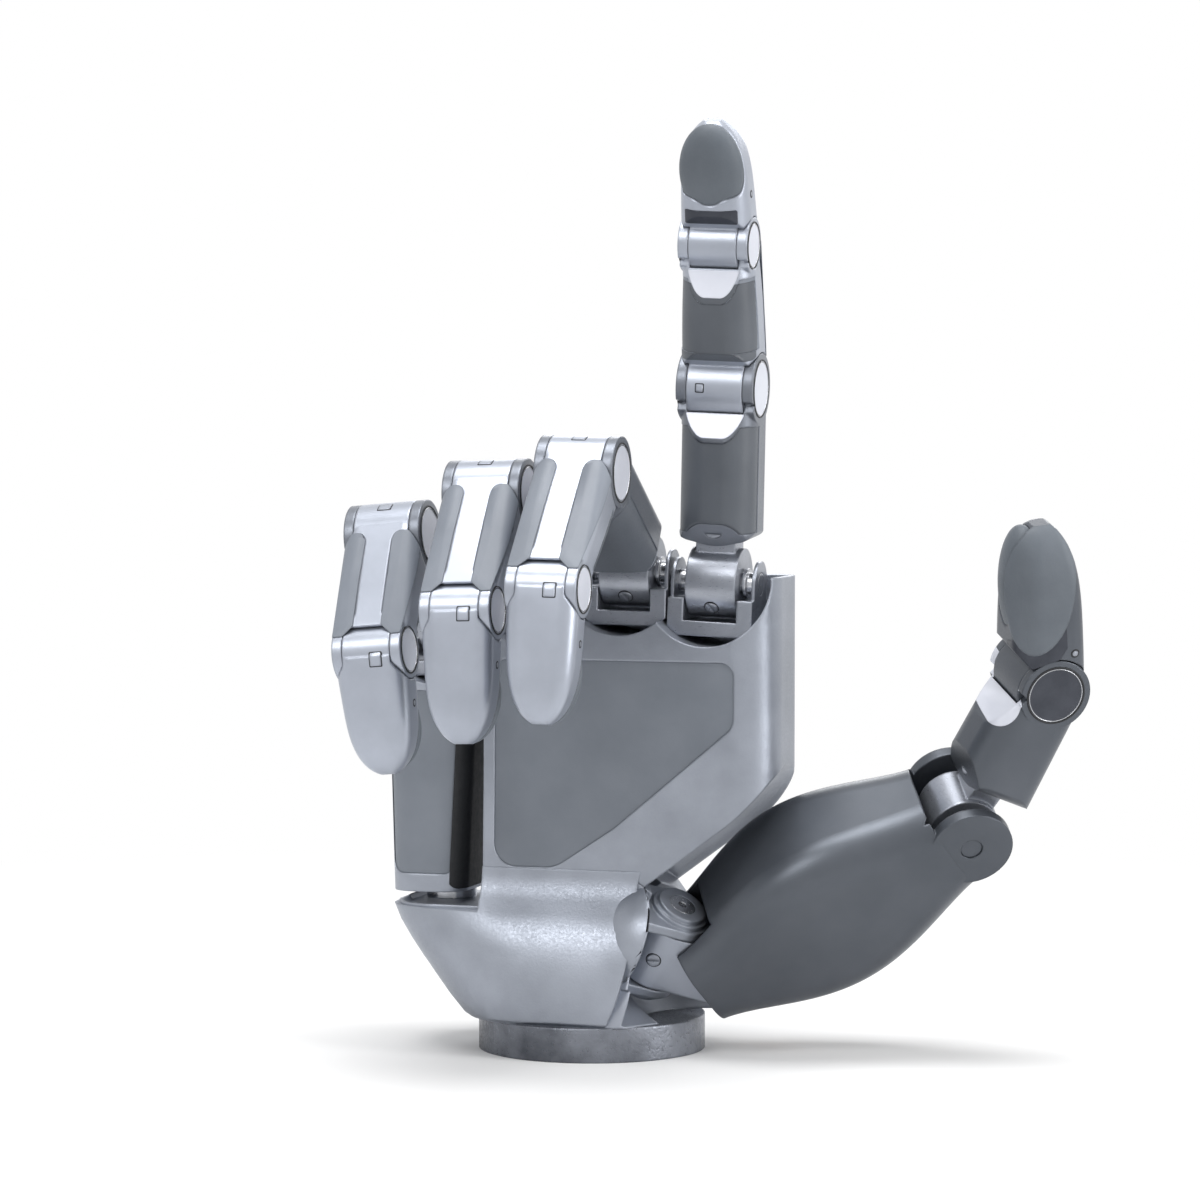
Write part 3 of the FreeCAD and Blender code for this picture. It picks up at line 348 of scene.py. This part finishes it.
def clipped_copy(nodes, place, outline):
    """A merged copy of some nodes in millimetres round a place, clipped to an outline."""
    mesh = bmesh.new()
    for node in nodes:
        mesh.from_mesh(frame["nodes"][node].data)
    bmesh.ops.remove_doubles(mesh, verts=mesh.verts, dist=NODE_MERGE_METRES)
    bmesh.ops.transform(mesh, matrix=Matrix.Scale(1 / MM, 4) @ place.inverted(), verts=mesh.verts)
    clip(mesh, outline)
    return mesh


def raise_skin(skin, lift, thickness):
    """Lifts a skin off the surface that it follows and gives it its thickness."""
    skin.normal_update()
    for vert in skin.verts:
        vert.co += vert.normal * lift
    bmesh.ops.solidify(skin, geom=skin.faces[:], thickness=thickness)


def skin_patch(name, nodes, place, outline, material, body, lift=PATCH_LIFT, lean=PATCH_LEAN):
    """A smooth skin over the rounded face of some nodes, inside an outline seen along Z."""
    cast = clipped_copy(nodes, place, outline)
    skin = bmesh.new()
    for vert in cast.verts:
        skin.verts.new(vert.co)
    cast.free()
    hull = bmesh.ops.convex_hull(skin, input=skin.verts[:])
    inner = {item for item in hull["geom_interior"] + hull["geom_unused"]
             if isinstance(item, bmesh.types.BMVert)}
    bmesh.ops.delete(skin, geom=list(inner), context="VERTS")
    bmesh.ops.recalc_face_normals(skin, faces=skin.faces)
    away = [face for face in skin.faces if face.normal.z < lean]
    bmesh.ops.delete(skin, geom=away, context="FACES")
    raise_skin(skin, lift, PATCH_THICKNESS)
    finish_piece(name, skin, place, material, body)


def facet_patch(name, nodes, place, outline, material, body, lift=FACET_LIFT, rise=ANY_RISE):
    """A thin skin that follows the faces of some nodes, where they are seen along Z.

    Only faces that lean towards Y by more than rise are taken.
    """
    skin = clipped_copy(nodes, place, outline)
    skin.normal_update()
    tree = BVHTree.FromBMesh(skin)
    hidden = []
    for face in skin.faces:
        start = face.calc_center_median() + face.normal * RAY_START
        if (face.normal.z < FACET_LEAN or face.normal.y < rise
                or tree.ray_cast(start, Vector((0, 0, 1)))[0] is not None):
            hidden.append(face)
    bmesh.ops.delete(skin, geom=hidden, context="FACES")
    if not skin.faces:
        raise RuntimeError("no face of %s is seen for %s" % (", ".join(nodes), name))
    raise_skin(skin, lift, FACET_THICKNESS)
    finish_piece(name, skin, place, material, body)


# Small parts, drawn in millimetres round their own Z.

SCREW_RADIUS = 1.5
HEAD_HEIGHT = 0.35
SLOT_WIDTH = 0.42
PIN_SEGMENTS = 24


def add_cylinder(mesh, low_radius, high_radius, bottom, height, segments):
    """An upright cylinder or cone; gives its vertices."""
    made = bmesh.ops.create_cone(mesh, cap_ends=True, segments=segments, radius1=low_radius,
                                 radius2=high_radius, depth=height,
                                 matrix=Matrix.Translation((0, 0, bottom + height / 2)))
    return made["verts"]


def add_ring(mesh, radius, tube, segments=56):
    """A round ring that lies flat, its tube centred on the plane."""
    made = bmesh.ops.create_circle(
        mesh, cap_ends=False, segments=8, radius=tube,
        matrix=Matrix.Translation((radius, 0, 0)) @ Matrix.Rotation(math.pi / 2, 4, "X"))
    edges = {edge for vert in made["verts"] for edge in vert.link_edges}
    bmesh.ops.spin(mesh, geom=made["verts"] + list(edges), cent=(0, 0, 0), axis=(0, 0, 1),
                   angle=2 * math.pi, steps=segments, use_merge=True, use_duplicate=False)


def ring_piece(name, place, radius, tube, material, body, segments=56):
    ring = bmesh.new()
    add_ring(ring, radius, tube, segments)
    finish_piece(name, ring, place, material, body)


def add_slotted_head(mesh):
    """A screw head: a low disc under two halves with the slot between them."""
    floor = HEAD_HEIGHT * 0.45
    add_cylinder(mesh, SCREW_RADIUS, SCREW_RADIUS, 0.0, floor, 40)
    for side in (-1, 1):
        verts = add_cylinder(mesh, SCREW_RADIUS, SCREW_RADIUS * 0.94, floor, HEAD_HEIGHT - floor, 36)
        edges = list({edge for vert in verts for edge in vert.link_edges})
        faces = list({face for vert in verts for face in vert.link_faces})
        sliced = bmesh.ops.bisect_plane(mesh, geom=verts + edges + faces, dist=CUT_TOLERANCE,
                                        plane_co=(side * SLOT_WIDTH / 2, 0, 0),
                                        plane_no=(side, 0, 0), clear_inner=True)
        rim = [item for item in sliced["geom_cut"] if isinstance(item, bmesh.types.BMEdge)]
        bmesh.ops.contextual_create(mesh, geom=rim)


def screw(name, place, body):
    """A slotted screw with the dark recess round it."""
    head = bmesh.new()
    add_slotted_head(head)
    finish_piece(name, head, place, block_metal, body)
    ring_piece(name + "_recess", place, SCREW_RADIUS + 0.08, 0.14, black_gap_and_painted_shade, body, 40)


def pin_hole(name, node, place, centre, radius, body):
    """A small pin hole, drawn as a dark disc of painted shade, with the end of a pin in it."""
    for ending, size, material, lift in (("", radius, black_gap_and_painted_shade, 0.04),
                                         ("_end", radius * 0.62, block_metal, 0.09)):
        skin_patch(name + ending, [node], place, oval(size, size, *centre, PIN_SEGMENTS), material,
                   body, lift, lean=0.5)


def inlay(name, node, place, edges, body):
    """A small rectangular key set in a barrel, with the dark line round it."""
    left, right, low, high = edges
    line = 0.22
    skin_patch(name + "_line", [node], place, rounded(left, right, low, high, 0.25, 2), black_gap_and_painted_shade,
               body, lift=0.03)
    skin_patch(name, [node], place,
               rounded(left + line, right - line, low + line, high - line, 0.2, 2),
               satin_metal, body, lift=0.09)


def cap_rings(name, place, radius, half_width, body):
    """The dark groove and the bright rim round both caps of a hinge."""
    for side in (-1, 1):
        face = turned(moved(place, x=side * half_width), side * 90, "Y")
        ring_piece("%s_groove_%d" % (name, side + 1), face, radius + 0.05, 0.2, black_gap_and_painted_shade, body)
        ring_piece("%s_rim_%d" % (name, side + 1), face, radius - 0.35, 0.12, bright_steel, body)


# The fingers, in millimetres. A hinge is its cap radius and half the width over the cheeks. A
# window is left, right, low and high on the segment's face.

MIDDLE_HINGE = (6.1, 8.5)
END_HINGE = (4.9, 7.6)

# The knuckle's screw: its height over the hinge, its angles on a straight finger in degrees, and
# the bend at each finger's root at rest, which is taken off so that the screw faces the palm side.
SCREW_HEIGHT = 7.5
SCREW_LEAN, SCREW_SPIN = 130, 25
ROOT_BEND = {"index": 0.0, "middle": 55.0, "ring": 57.0, "little": 55.0}

# The two panels on the back of a middle segment: across from the middle line, then how far they
# go past the solid panel under them, and the lowest that they start.
PANEL_INNER, PANEL_OUTER, PANEL_CORNER = 3.1, 9.2, 1.9
PANEL_BELOW, PANEL_ABOVE, PANEL_LOWEST = 5.5, 3.7, 3.4

# The crescent under a barrel, painted light as a highlight, and the palm face, painted dark as shade,
# measured down from the next hinge.
CRESCENT_HALF, CRESCENT_LOW, CRESCENT_HIGH, CRESCENT_CORNER = 6.4, 15.0, 4.5, 1.0
PALM_FACE_HALF, PALM_FACE_GAP, PALM_FACE_HIGH, PALM_FACE_CORNER = 8.3, 1.2, 7.2, 0.8

NECK_WINDOW = (-5.7, 5.7, 6.2, 9.4)
TIP_KEY = (-3.6, -0.7, -0.9, 2.3)
BACK_KEY = (-1.6, 1.6, -4.4, -2.2)
PALM_KEY = (-4.2, -2.2, 0.6, 2.6)
PIN_ACROSS, PIN_UP, PIN_RADIUS = 0.5, 11.3, 0.85
SIDES = ((-1, "left"), (1, "right"))


def dress_back_panels(finger, place):
    """The two panels on the back of a finger's middle segment."""
    body = finger + "_middle"
    low, high = reach(body + "_panels", place)
    for side, label in SIDES:
        left, right = sorted((side * PANEL_INNER, side * PANEL_OUTER))
        window = rounded(left, right, max(PANEL_LOWEST, low - PANEL_BELOW), high + PANEL_ABOVE,
                         PANEL_CORNER)
        skin_patch("%s_%s_panel" % (finger, label), [body + "_shell", body + "_panels"],
                   back_side(place), window, finger_panel_skin, body)


def dress_palm_faces(finger, first, first_length, second, second_length):
    """The crescents under both barrels, painted light as a highlight, and the palm face of the middle
    segment, painted dark as shade.
    """
    for segment, place, length in (("_proximal", first, first_length),
                                   ("_middle", second, second_length)):
        body = finger + segment
        # Painted highlight: the crescent on the facet that faces the light.
        facet_patch(body + "_crescent", [body + "_shell"], palm_side(place),
                    rounded(-CRESCENT_HALF, CRESCENT_HALF, length - CRESCENT_LOW,
                            length - CRESCENT_HIGH, CRESCENT_CORNER),
                    cap_metal_and_painted_highlight, body, lift=0.03, rise=0.12)
    body = finger + "_middle"
    # Painted shade: the dark palm face of the middle segment.
    facet_patch(body + "_palm_face", [body + "_shell", body + "_panels"], palm_side(second),
                rounded(-PALM_FACE_HALF, PALM_FACE_HALF, MIDDLE_HINGE[0] + PALM_FACE_GAP,
                        second_length - PALM_FACE_HIGH, PALM_FACE_CORNER),
                painted_shade_palm_skin, body, lift=0.02)


def dress_finger(finger):
    """The screw, caps, panels, crescents, pins and keys of one finger."""
    root, middle, tip = [joint_place("%s_%s_flexion" % (finger, step))
                         for step in ("root", "middle", "tip")]
    tip_shell, middle_shell = finger + "_tip_shell", finger + "_middle_shell"
    tip_body, middle_body = finger + "_tip", finger + "_middle"
    first = segment_place(finger + "_root_flexion", middle)
    second = segment_place(finger + "_middle_flexion", tip)
    third = segment_place(finger + "_tip_flexion", tip_point(tip_shell, tip))
    first_length, second_length = (middle - root).length / MM, (tip - middle).length / MM
    screw_place = turned(turned(first, SCREW_LEAN - ROOT_BEND[finger], "X"), SCREW_SPIN, "Z")
    screw(finger + "_knuckle_screw", moved(screw_place, z=SCREW_HEIGHT), finger + "_knuckle")
    cap_rings(finger + "_middle_caps", second, *MIDDLE_HINGE, finger + "_proximal")
    cap_rings(finger + "_tip_caps", third, *END_HINGE, middle_body)
    dress_back_panels(finger, second)
    dress_palm_faces(finger, first, first_length, second, second_length)
    # Painted shade: the dark neck between the pad and the shell.
    skin_patch(finger + "_neck", [tip_shell], palm_side(third), rounded(*NECK_WINDOW, 0.4),
               dark_steel_and_painted_shade, tip_body)
    for side, label in SIDES:
        pin_hole("%s_%s_pin" % (finger, label), tip_shell, side_face(third, side),
                 (side * PIN_ACROSS, PIN_UP), PIN_RADIUS, tip_body)
    inlay(finger + "_tip_key", tip_shell, back_side(third), TIP_KEY, tip_body)
    inlay(finger + "_middle_key", middle_shell, back_side(second), BACK_KEY, middle_body)
    inlay(finger + "_palm_key", middle_shell, palm_side(second), PALM_KEY, middle_body)


# The foot of the palm, in millimetres. The fold is the step that the little finger's metacarpal
# stands on: its wall is a place along X and its floor a height.

FOLD_WALL, FOLD_FLOOR = -20.6, 31.4

# Rows of the cup: height, half width, front, back, corner, and how far the corners are drawn out.
CUP_ROWS = ((7.55, 26.9, 22.9, 22.9, 20.8, 1.0), (8.3, 27.9, 23.7, 23.7, 21.0, 1.0),
            (12.0, 31.0, 24.0, 23.0, 20.4, 1.12), (16.0, 34.0, 23.8, 21.6, 19.2, 1.4),
            (20.0, 36.8, 23.3, 20.0, 17.6, 1.7), (24.0, 39.4, 22.3, 18.6, 15.6, 2.0),
            (28.0, 41.8, 20.8, 17.2, 13.6, 2.2), (FOLD_FLOOR, 43.6, 18.7, 15.9, 12.2, 2.2),
            (34.0, 43.6, 16.9, 14.9, 11.6, 2.0), (36.0, 43.6, 15.9, 14.5, 11.4, 1.8),
            (38.0, 43.6, 15.2, 14.2, 11.2, 1.6), (39.5, 43.6, 14.9, 14.1, 11.1, 1.4),
            (40.8, 43.6, 14.73, 14.05, 11.0, 1.2))
CUP_WALL = 3.8
CUP_BACK = 4.0
CORNER_SEGMENTS = 14
# How far before the thumb's root the cup ends.
CUP_TO_ROOT = 10.4
LINING_WINDOW = (-12.6, 11.5, 35.2, 79.0)

# The thumb's root, and the dome of its socket: the radius and how far behind the root it is cut.
ROOT = joint_place("thumb_root_turn")
ROOT_OUT = (joint_place("thumb_root_flexion") - ROOT).normalized()
ROOT_AXIS = Vector(JOINTS["thumb_root_turn"]["axis"]).normalized()
DOME_RADIUS, DOME_CUT, DOME_EDGE = 14.8, 8.5, 0.6
ROOT_SCREW_HEIGHT = 7.1
ROOT_SCREW_SPIN_RADIANS = 0.5

# The way to the viewer of the photograph, which the thumb's pad and the root's screw face.
VIEWER = Vector((0.292, -0.955, 0.052))


def slice_all(mesh, point, away, clear=True):
    """Cuts a whole mesh with a plane, and clears what lies beyond it."""
    bmesh.ops.bisect_plane(mesh, geom=mesh.verts[:] + mesh.edges[:] + mesh.faces[:],
                           dist=CUT_TOLERANCE, plane_co=point, plane_no=away, clear_outer=clear)


def add_outline(mesh, z, half_width, front, back, corner, drawn):
    """One rounded outline of the cup; gives its edges."""
    before = set(mesh.verts)
    verts = bmesh.ops.create_grid(mesh, x_segments=1, y_segments=1, size=1.0)["verts"]
    bmesh.ops.scale(mesh, vec=(half_width / drawn, (front + back) / 2, 1.0), verts=verts)
    bmesh.ops.bevel(mesh, geom=verts, offset=corner, segments=CORNER_SEGMENTS, profile=0.5,
                    material=-1, affect="VERTICES")
    verts = [vert for vert in mesh.verts if vert not in before]
    bmesh.ops.scale(mesh, vec=(drawn, 1.0, 1.0), verts=verts)
    bmesh.ops.translate(mesh, vec=(0, (back - front) / 2, z), verts=verts)
    edges = list({edge for vert in verts for edge in vert.link_edges})
    faces = list({face for vert in verts for face in vert.link_faces})
    bmesh.ops.delete(mesh, geom=faces, context="FACES_ONLY")
    return edges


def dress_foot():
    """The smooth cup under the palm, bridged row by row, open at the fold and at the thumb."""
    mesh = bmesh.new()
    loops = [add_outline(mesh, *row) for row in CUP_ROWS]
    for low, high in zip(loops, loops[1:]):
        bmesh.ops.bridge_loops(mesh, edges=low + high)
    slice_all(mesh, (0, CUP_BACK, 0), (0, 1, 0))
    slice_all(mesh, ROOT / MM - ROOT_OUT * CUP_TO_ROOT, ROOT_OUT)
    slice_all(mesh, (FOLD_WALL, 0, 0), (1, 0, 0), clear=False)
    slice_all(mesh, (0, 0, FOLD_FLOOR), (0, 0, 1), clear=False)
    in_fold = [face for face in mesh.faces
               if face.calc_center_median().x < FOLD_WALL and face.calc_center_median().z > FOLD_FLOOR]
    bmesh.ops.delete(mesh, geom=in_fold, context="FACES")
    bmesh.ops.recalc_face_normals(mesh, faces=mesh.faces)
    bmesh.ops.solidify(mesh, geom=mesh.faces[:], thickness=CUP_WALL)
    finish_piece("palm_cup", mesh, Matrix.Identity(4), cast_metal, "palm")


def dress_fold():
    """Painted shade: a dark skin on the little finger's metacarpal, where it faces the gap to the
    palm.
    """
    thumbwards = axes_at(Vector((0, 0, 0)), (0, 1, 0), (0, 0, 1), (1, 0, 0))
    skin_patch("fold_gap_painted_shade", ["little_metacarpal_shell"], thumbwards,
               rounded(*LINING_WINDOW, 1.5), black_gap_and_painted_shade, "little_metacarpal",
               lift=0.1, lean=0.5)


def dress_root():
    """The dome over the socket, and the root block's screw."""
    mesh = bmesh.new()
    bmesh.ops.create_uvsphere(mesh, u_segments=64, v_segments=40, radius=DOME_RADIUS)
    slice_all(mesh, -ROOT_OUT * DOME_CUT, ROOT_OUT)
    rim = [edge for edge in mesh.edges if edge.is_boundary]
    bmesh.ops.contextual_create(mesh, geom=rim)
    rim = [edge for edge in rim if edge.is_valid]
    bmesh.ops.bevel(mesh, geom=rim, offset=DOME_EDGE, segments=3, profile=0.5, material=-1,
                    affect="EDGES")
    finish_piece("socket_dome", mesh, Matrix.Translation(ROOT), cast_metal, "palm")
    z = (VIEWER - ROOT_AXIS * VIEWER.dot(ROOT_AXIS)).normalized()
    place = axes_at(ROOT + z * ROOT_SCREW_HEIGHT * MM, ROOT_AXIS, z.cross(ROOT_AXIS), z)
    screw("root_block_screw", place @ Matrix.Rotation(ROOT_SCREW_SPIN_RADIANS, 4, "Z"), "thumb_root")


# The thumb's tip, in millimetres on its face: half width, half height and centre of the ovals,
# corners of the neck, and the centre and radius of the pin.

THUMB_HINGE = (6.3, 9.3)
THUMB_PAD_OVAL = (7.2, 13.2, 1.5, 23.0)
THUMB_CRESCENT_OVAL = (5.4, 5.6, -10.4, -0.6)
THUMB_NECK = [(-7.2, 7.6), (-4.0, 6.2), (3.4, 8.2), (4.9, 10.5), (4.4, 26.0), (-7.2, 11.0)]
THUMB_PIN, THUMB_PIN_RADIUS = (6.6, 9.0), 0.95


def dress_thumb():
    """The caps, the wide pad, the neck painted dark as shade, the crescent painted light as a
    highlight, and the pin of the thumb.
    """
    tip = joint_place("thumb_tip_flexion")
    end = tip_point("thumb_tip_shell", tip)
    hinge = segment_place("thumb_tip_flexion", end)
    cap_rings("thumb_caps", hinge, *THUMB_HINGE, "thumb_proximal")
    up = (end - tip).normalized()
    # The pad faces the viewer, turned a little towards the thumb's own palm side.
    face = VIEWER * 0.95 - hinge.to_3x3().col[1] * 0.4
    face = (face - up * face.dot(up)).normalized()
    skin_patch("thumb_wide_pad", ["thumb_tip_shell", "thumb_pad"],
               axes_at(tip, up.cross(face), up, face), oval(*THUMB_PAD_OVAL), fingertip_skin,
               "thumb_tip", lift=0.45, lean=0.1)
    right = up.cross(VIEWER).normalized()
    front = axes_at(tip, right, up, right.cross(up))
    # Painted shade: the dark neck in the recess between the pad and the shell.
    skin_patch("thumb_neck", ["thumb_tip_shell", "thumb_pad"], front, THUMB_NECK, dark_steel_and_painted_shade,
               "thumb_tip", lift=0.12)
    # Painted highlight: the light crescent on the facet that faces the light.
    facet_patch("thumb_crescent", ["thumb_proximal_shell"], front, oval(*THUMB_CRESCENT_OVAL),
                cap_metal_and_painted_highlight, "thumb_proximal")
    pin_hole("thumb_pin", "thumb_tip_shell", front, THUMB_PIN, THUMB_PIN_RADIUS, "thumb_tip")


for finger in FINGERS:
    dress_finger(finger)
dress_foot()
dress_fold()
dress_root()
dress_thumb()


# Lights, floor and camera, in metres, watts and degrees.

# Each lamp: name, place, size and power. All of them look at the middle of the hand.
LAMPS = (
    ("overhead_lamp", (0.0, -0.15, 1.25), (0.8, 0.6), 13.0),
    ("front_lamp", (-0.38, -1.0, 0.85), (0.45, 0.45), 4.5),
    ("side_lamp", (1.1, -0.1, 0.45), (0.4, 1.0), 8.0),
    ("back_lamp", (0.0, 1.1, 0.7), (0.9, 0.5), 5.0),
)
LAMP_AIM = Vector((0, 0, 0.1))
WORLD_SEEN, WORLD_LIGHT = 1.0, 0.34
FLOOR_RADIUS = 6.0
FLOOR_TONE = (0.82, 0.82, 0.82, 1.0)
WHITE = (1.0, 1.0, 1.0, 1.0)
FADE_START, FADE_END = 0.12, 0.40

CAMERA_AZIMUTH, CAMERA_ELEVATION = 17, 3
CAMERA_AIM = Vector((0, 0, 0.095))
CAMERA_DISTANCE = 0.9
LENS_MM, SENSOR_MM = 122.6, 36.0
PHOTO_PIXELS = 1200
SHIFT_RIGHT_PIXELS, SHIFT_UP_PIXELS = 8, 17


def area_lamp(name, place, size, energy):
    lamp = bpy.data.lights.new(name, "AREA")
    lamp.shape = "RECTANGLE"
    lamp.size, lamp.size_y = size
    lamp.energy = energy
    item = bpy.data.objects.new(name, lamp)
    bpy.context.collection.objects.link(item)
    item.location = place
    item.rotation_euler = (LAMP_AIM - Vector(place)).to_track_quat("-Z", "Y").to_euler()


def seen_rays(nodes, links):
    """1 for the rays that see the background: camera, glossy and transmission rays."""
    path = nodes.new("ShaderNodeLightPath")
    seen = path.outputs["Is Camera Ray"]
    for output in ("Is Glossy Ray", "Is Transmission Ray"):
        node = nodes.new("ShaderNodeMath")
        node.operation = "MAXIMUM"
        links.new(seen, node.inputs[0])
        links.new(path.outputs[output], node.inputs[1])
        seen = node.outputs[0]
    return seen


def light_world():
    """White where it is seen, and a weaker white as light on the hand."""
    world = bpy.data.worlds.new("studio")
    bpy.context.scene.world = world
    world.use_nodes = True
    nodes, links = world.node_tree.nodes, world.node_tree.links
    backing = nodes["Background"]
    strength = nodes.new("ShaderNodeMapRange")
    strength.inputs["To Min"].default_value = WORLD_LIGHT
    strength.inputs["To Max"].default_value = WORLD_SEEN
    links.new(seen_rays(nodes, links), strength.inputs["Value"])
    links.new(strength.outputs["Result"], backing.inputs["Strength"])
    backing.inputs["Color"].default_value = WHITE


def floor_paper():
    """Pale paper, which fades to the white of the background away from the hand."""
    material, nodes, links = new_material("floor_paper")
    shader = nodes["Principled BSDF"]
    shader.inputs["Base Color"].default_value = FLOOR_TONE
    shader.inputs["Roughness"].default_value = 0.9
    shader.inputs["Specular IOR Level"].default_value = 0.0
    coords = nodes.new("ShaderNodeTexCoord")
    distance = nodes.new("ShaderNodeVectorMath")
    distance.operation = "LENGTH"
    links.new(coords.outputs["Object"], distance.inputs[0])
    far = span(nodes, links, distance.outputs["Value"], 0.0, 1.0, FADE_START, FADE_END)
    share = nodes.new("ShaderNodeMath")
    share.operation = "MULTIPLY"
    links.new(far, share.inputs[0])
    links.new(seen_rays(nodes, links), share.inputs[1])
    glow = nodes.new("ShaderNodeEmission")
    mix = nodes.new("ShaderNodeMixShader")
    links.new(share.outputs[0], mix.inputs["Fac"])
    links.new(shader.outputs[0], mix.inputs[1])
    links.new(glow.outputs[0], mix.inputs[2])
    links.new(mix.outputs[0], nodes["Material Output"].inputs["Surface"])
    return material


def lay_floor():
    """A wide disc under the flange."""
    mesh = bmesh.new()
    bmesh.ops.create_circle(mesh, cap_ends=True, segments=96, radius=FLOOR_RADIUS)
    data = bpy.data.meshes.new("studio_floor")
    mesh.to_mesh(data)
    mesh.free()
    data.materials.append(floor_paper())
    floor = bpy.data.objects.new("studio_floor", data)
    bpy.context.collection.objects.link(floor)


def set_camera():
    """The photograph's view: a little towards the thumb side, and a little from above."""
    azimuth, elevation = math.radians(CAMERA_AZIMUTH), math.radians(CAMERA_ELEVATION)
    away = Vector((math.sin(azimuth) * math.cos(elevation), -math.cos(azimuth) * math.cos(elevation),
                   math.sin(elevation)))
    camera = bpy.data.cameras.new("view")
    camera.lens = LENS_MM
    camera.sensor_width = SENSOR_MM
    camera.shift_x = SHIFT_RIGHT_PIXELS / PHOTO_PIXELS
    camera.shift_y = SHIFT_UP_PIXELS / PHOTO_PIXELS
    item = bpy.data.objects.new("view", camera)
    bpy.context.collection.objects.link(item)
    item.location = CAMERA_AIM + away * CAMERA_DISTANCE
    item.rotation_euler = (-away).to_track_quat("-Z", "Y").to_euler()
    bpy.context.scene.camera = item


light_world()
lay_floor()
for lamp in LAMPS:
    area_lamp(*lamp)
set_camera()
bpy.context.scene.view_settings.view_transform = "Standard"
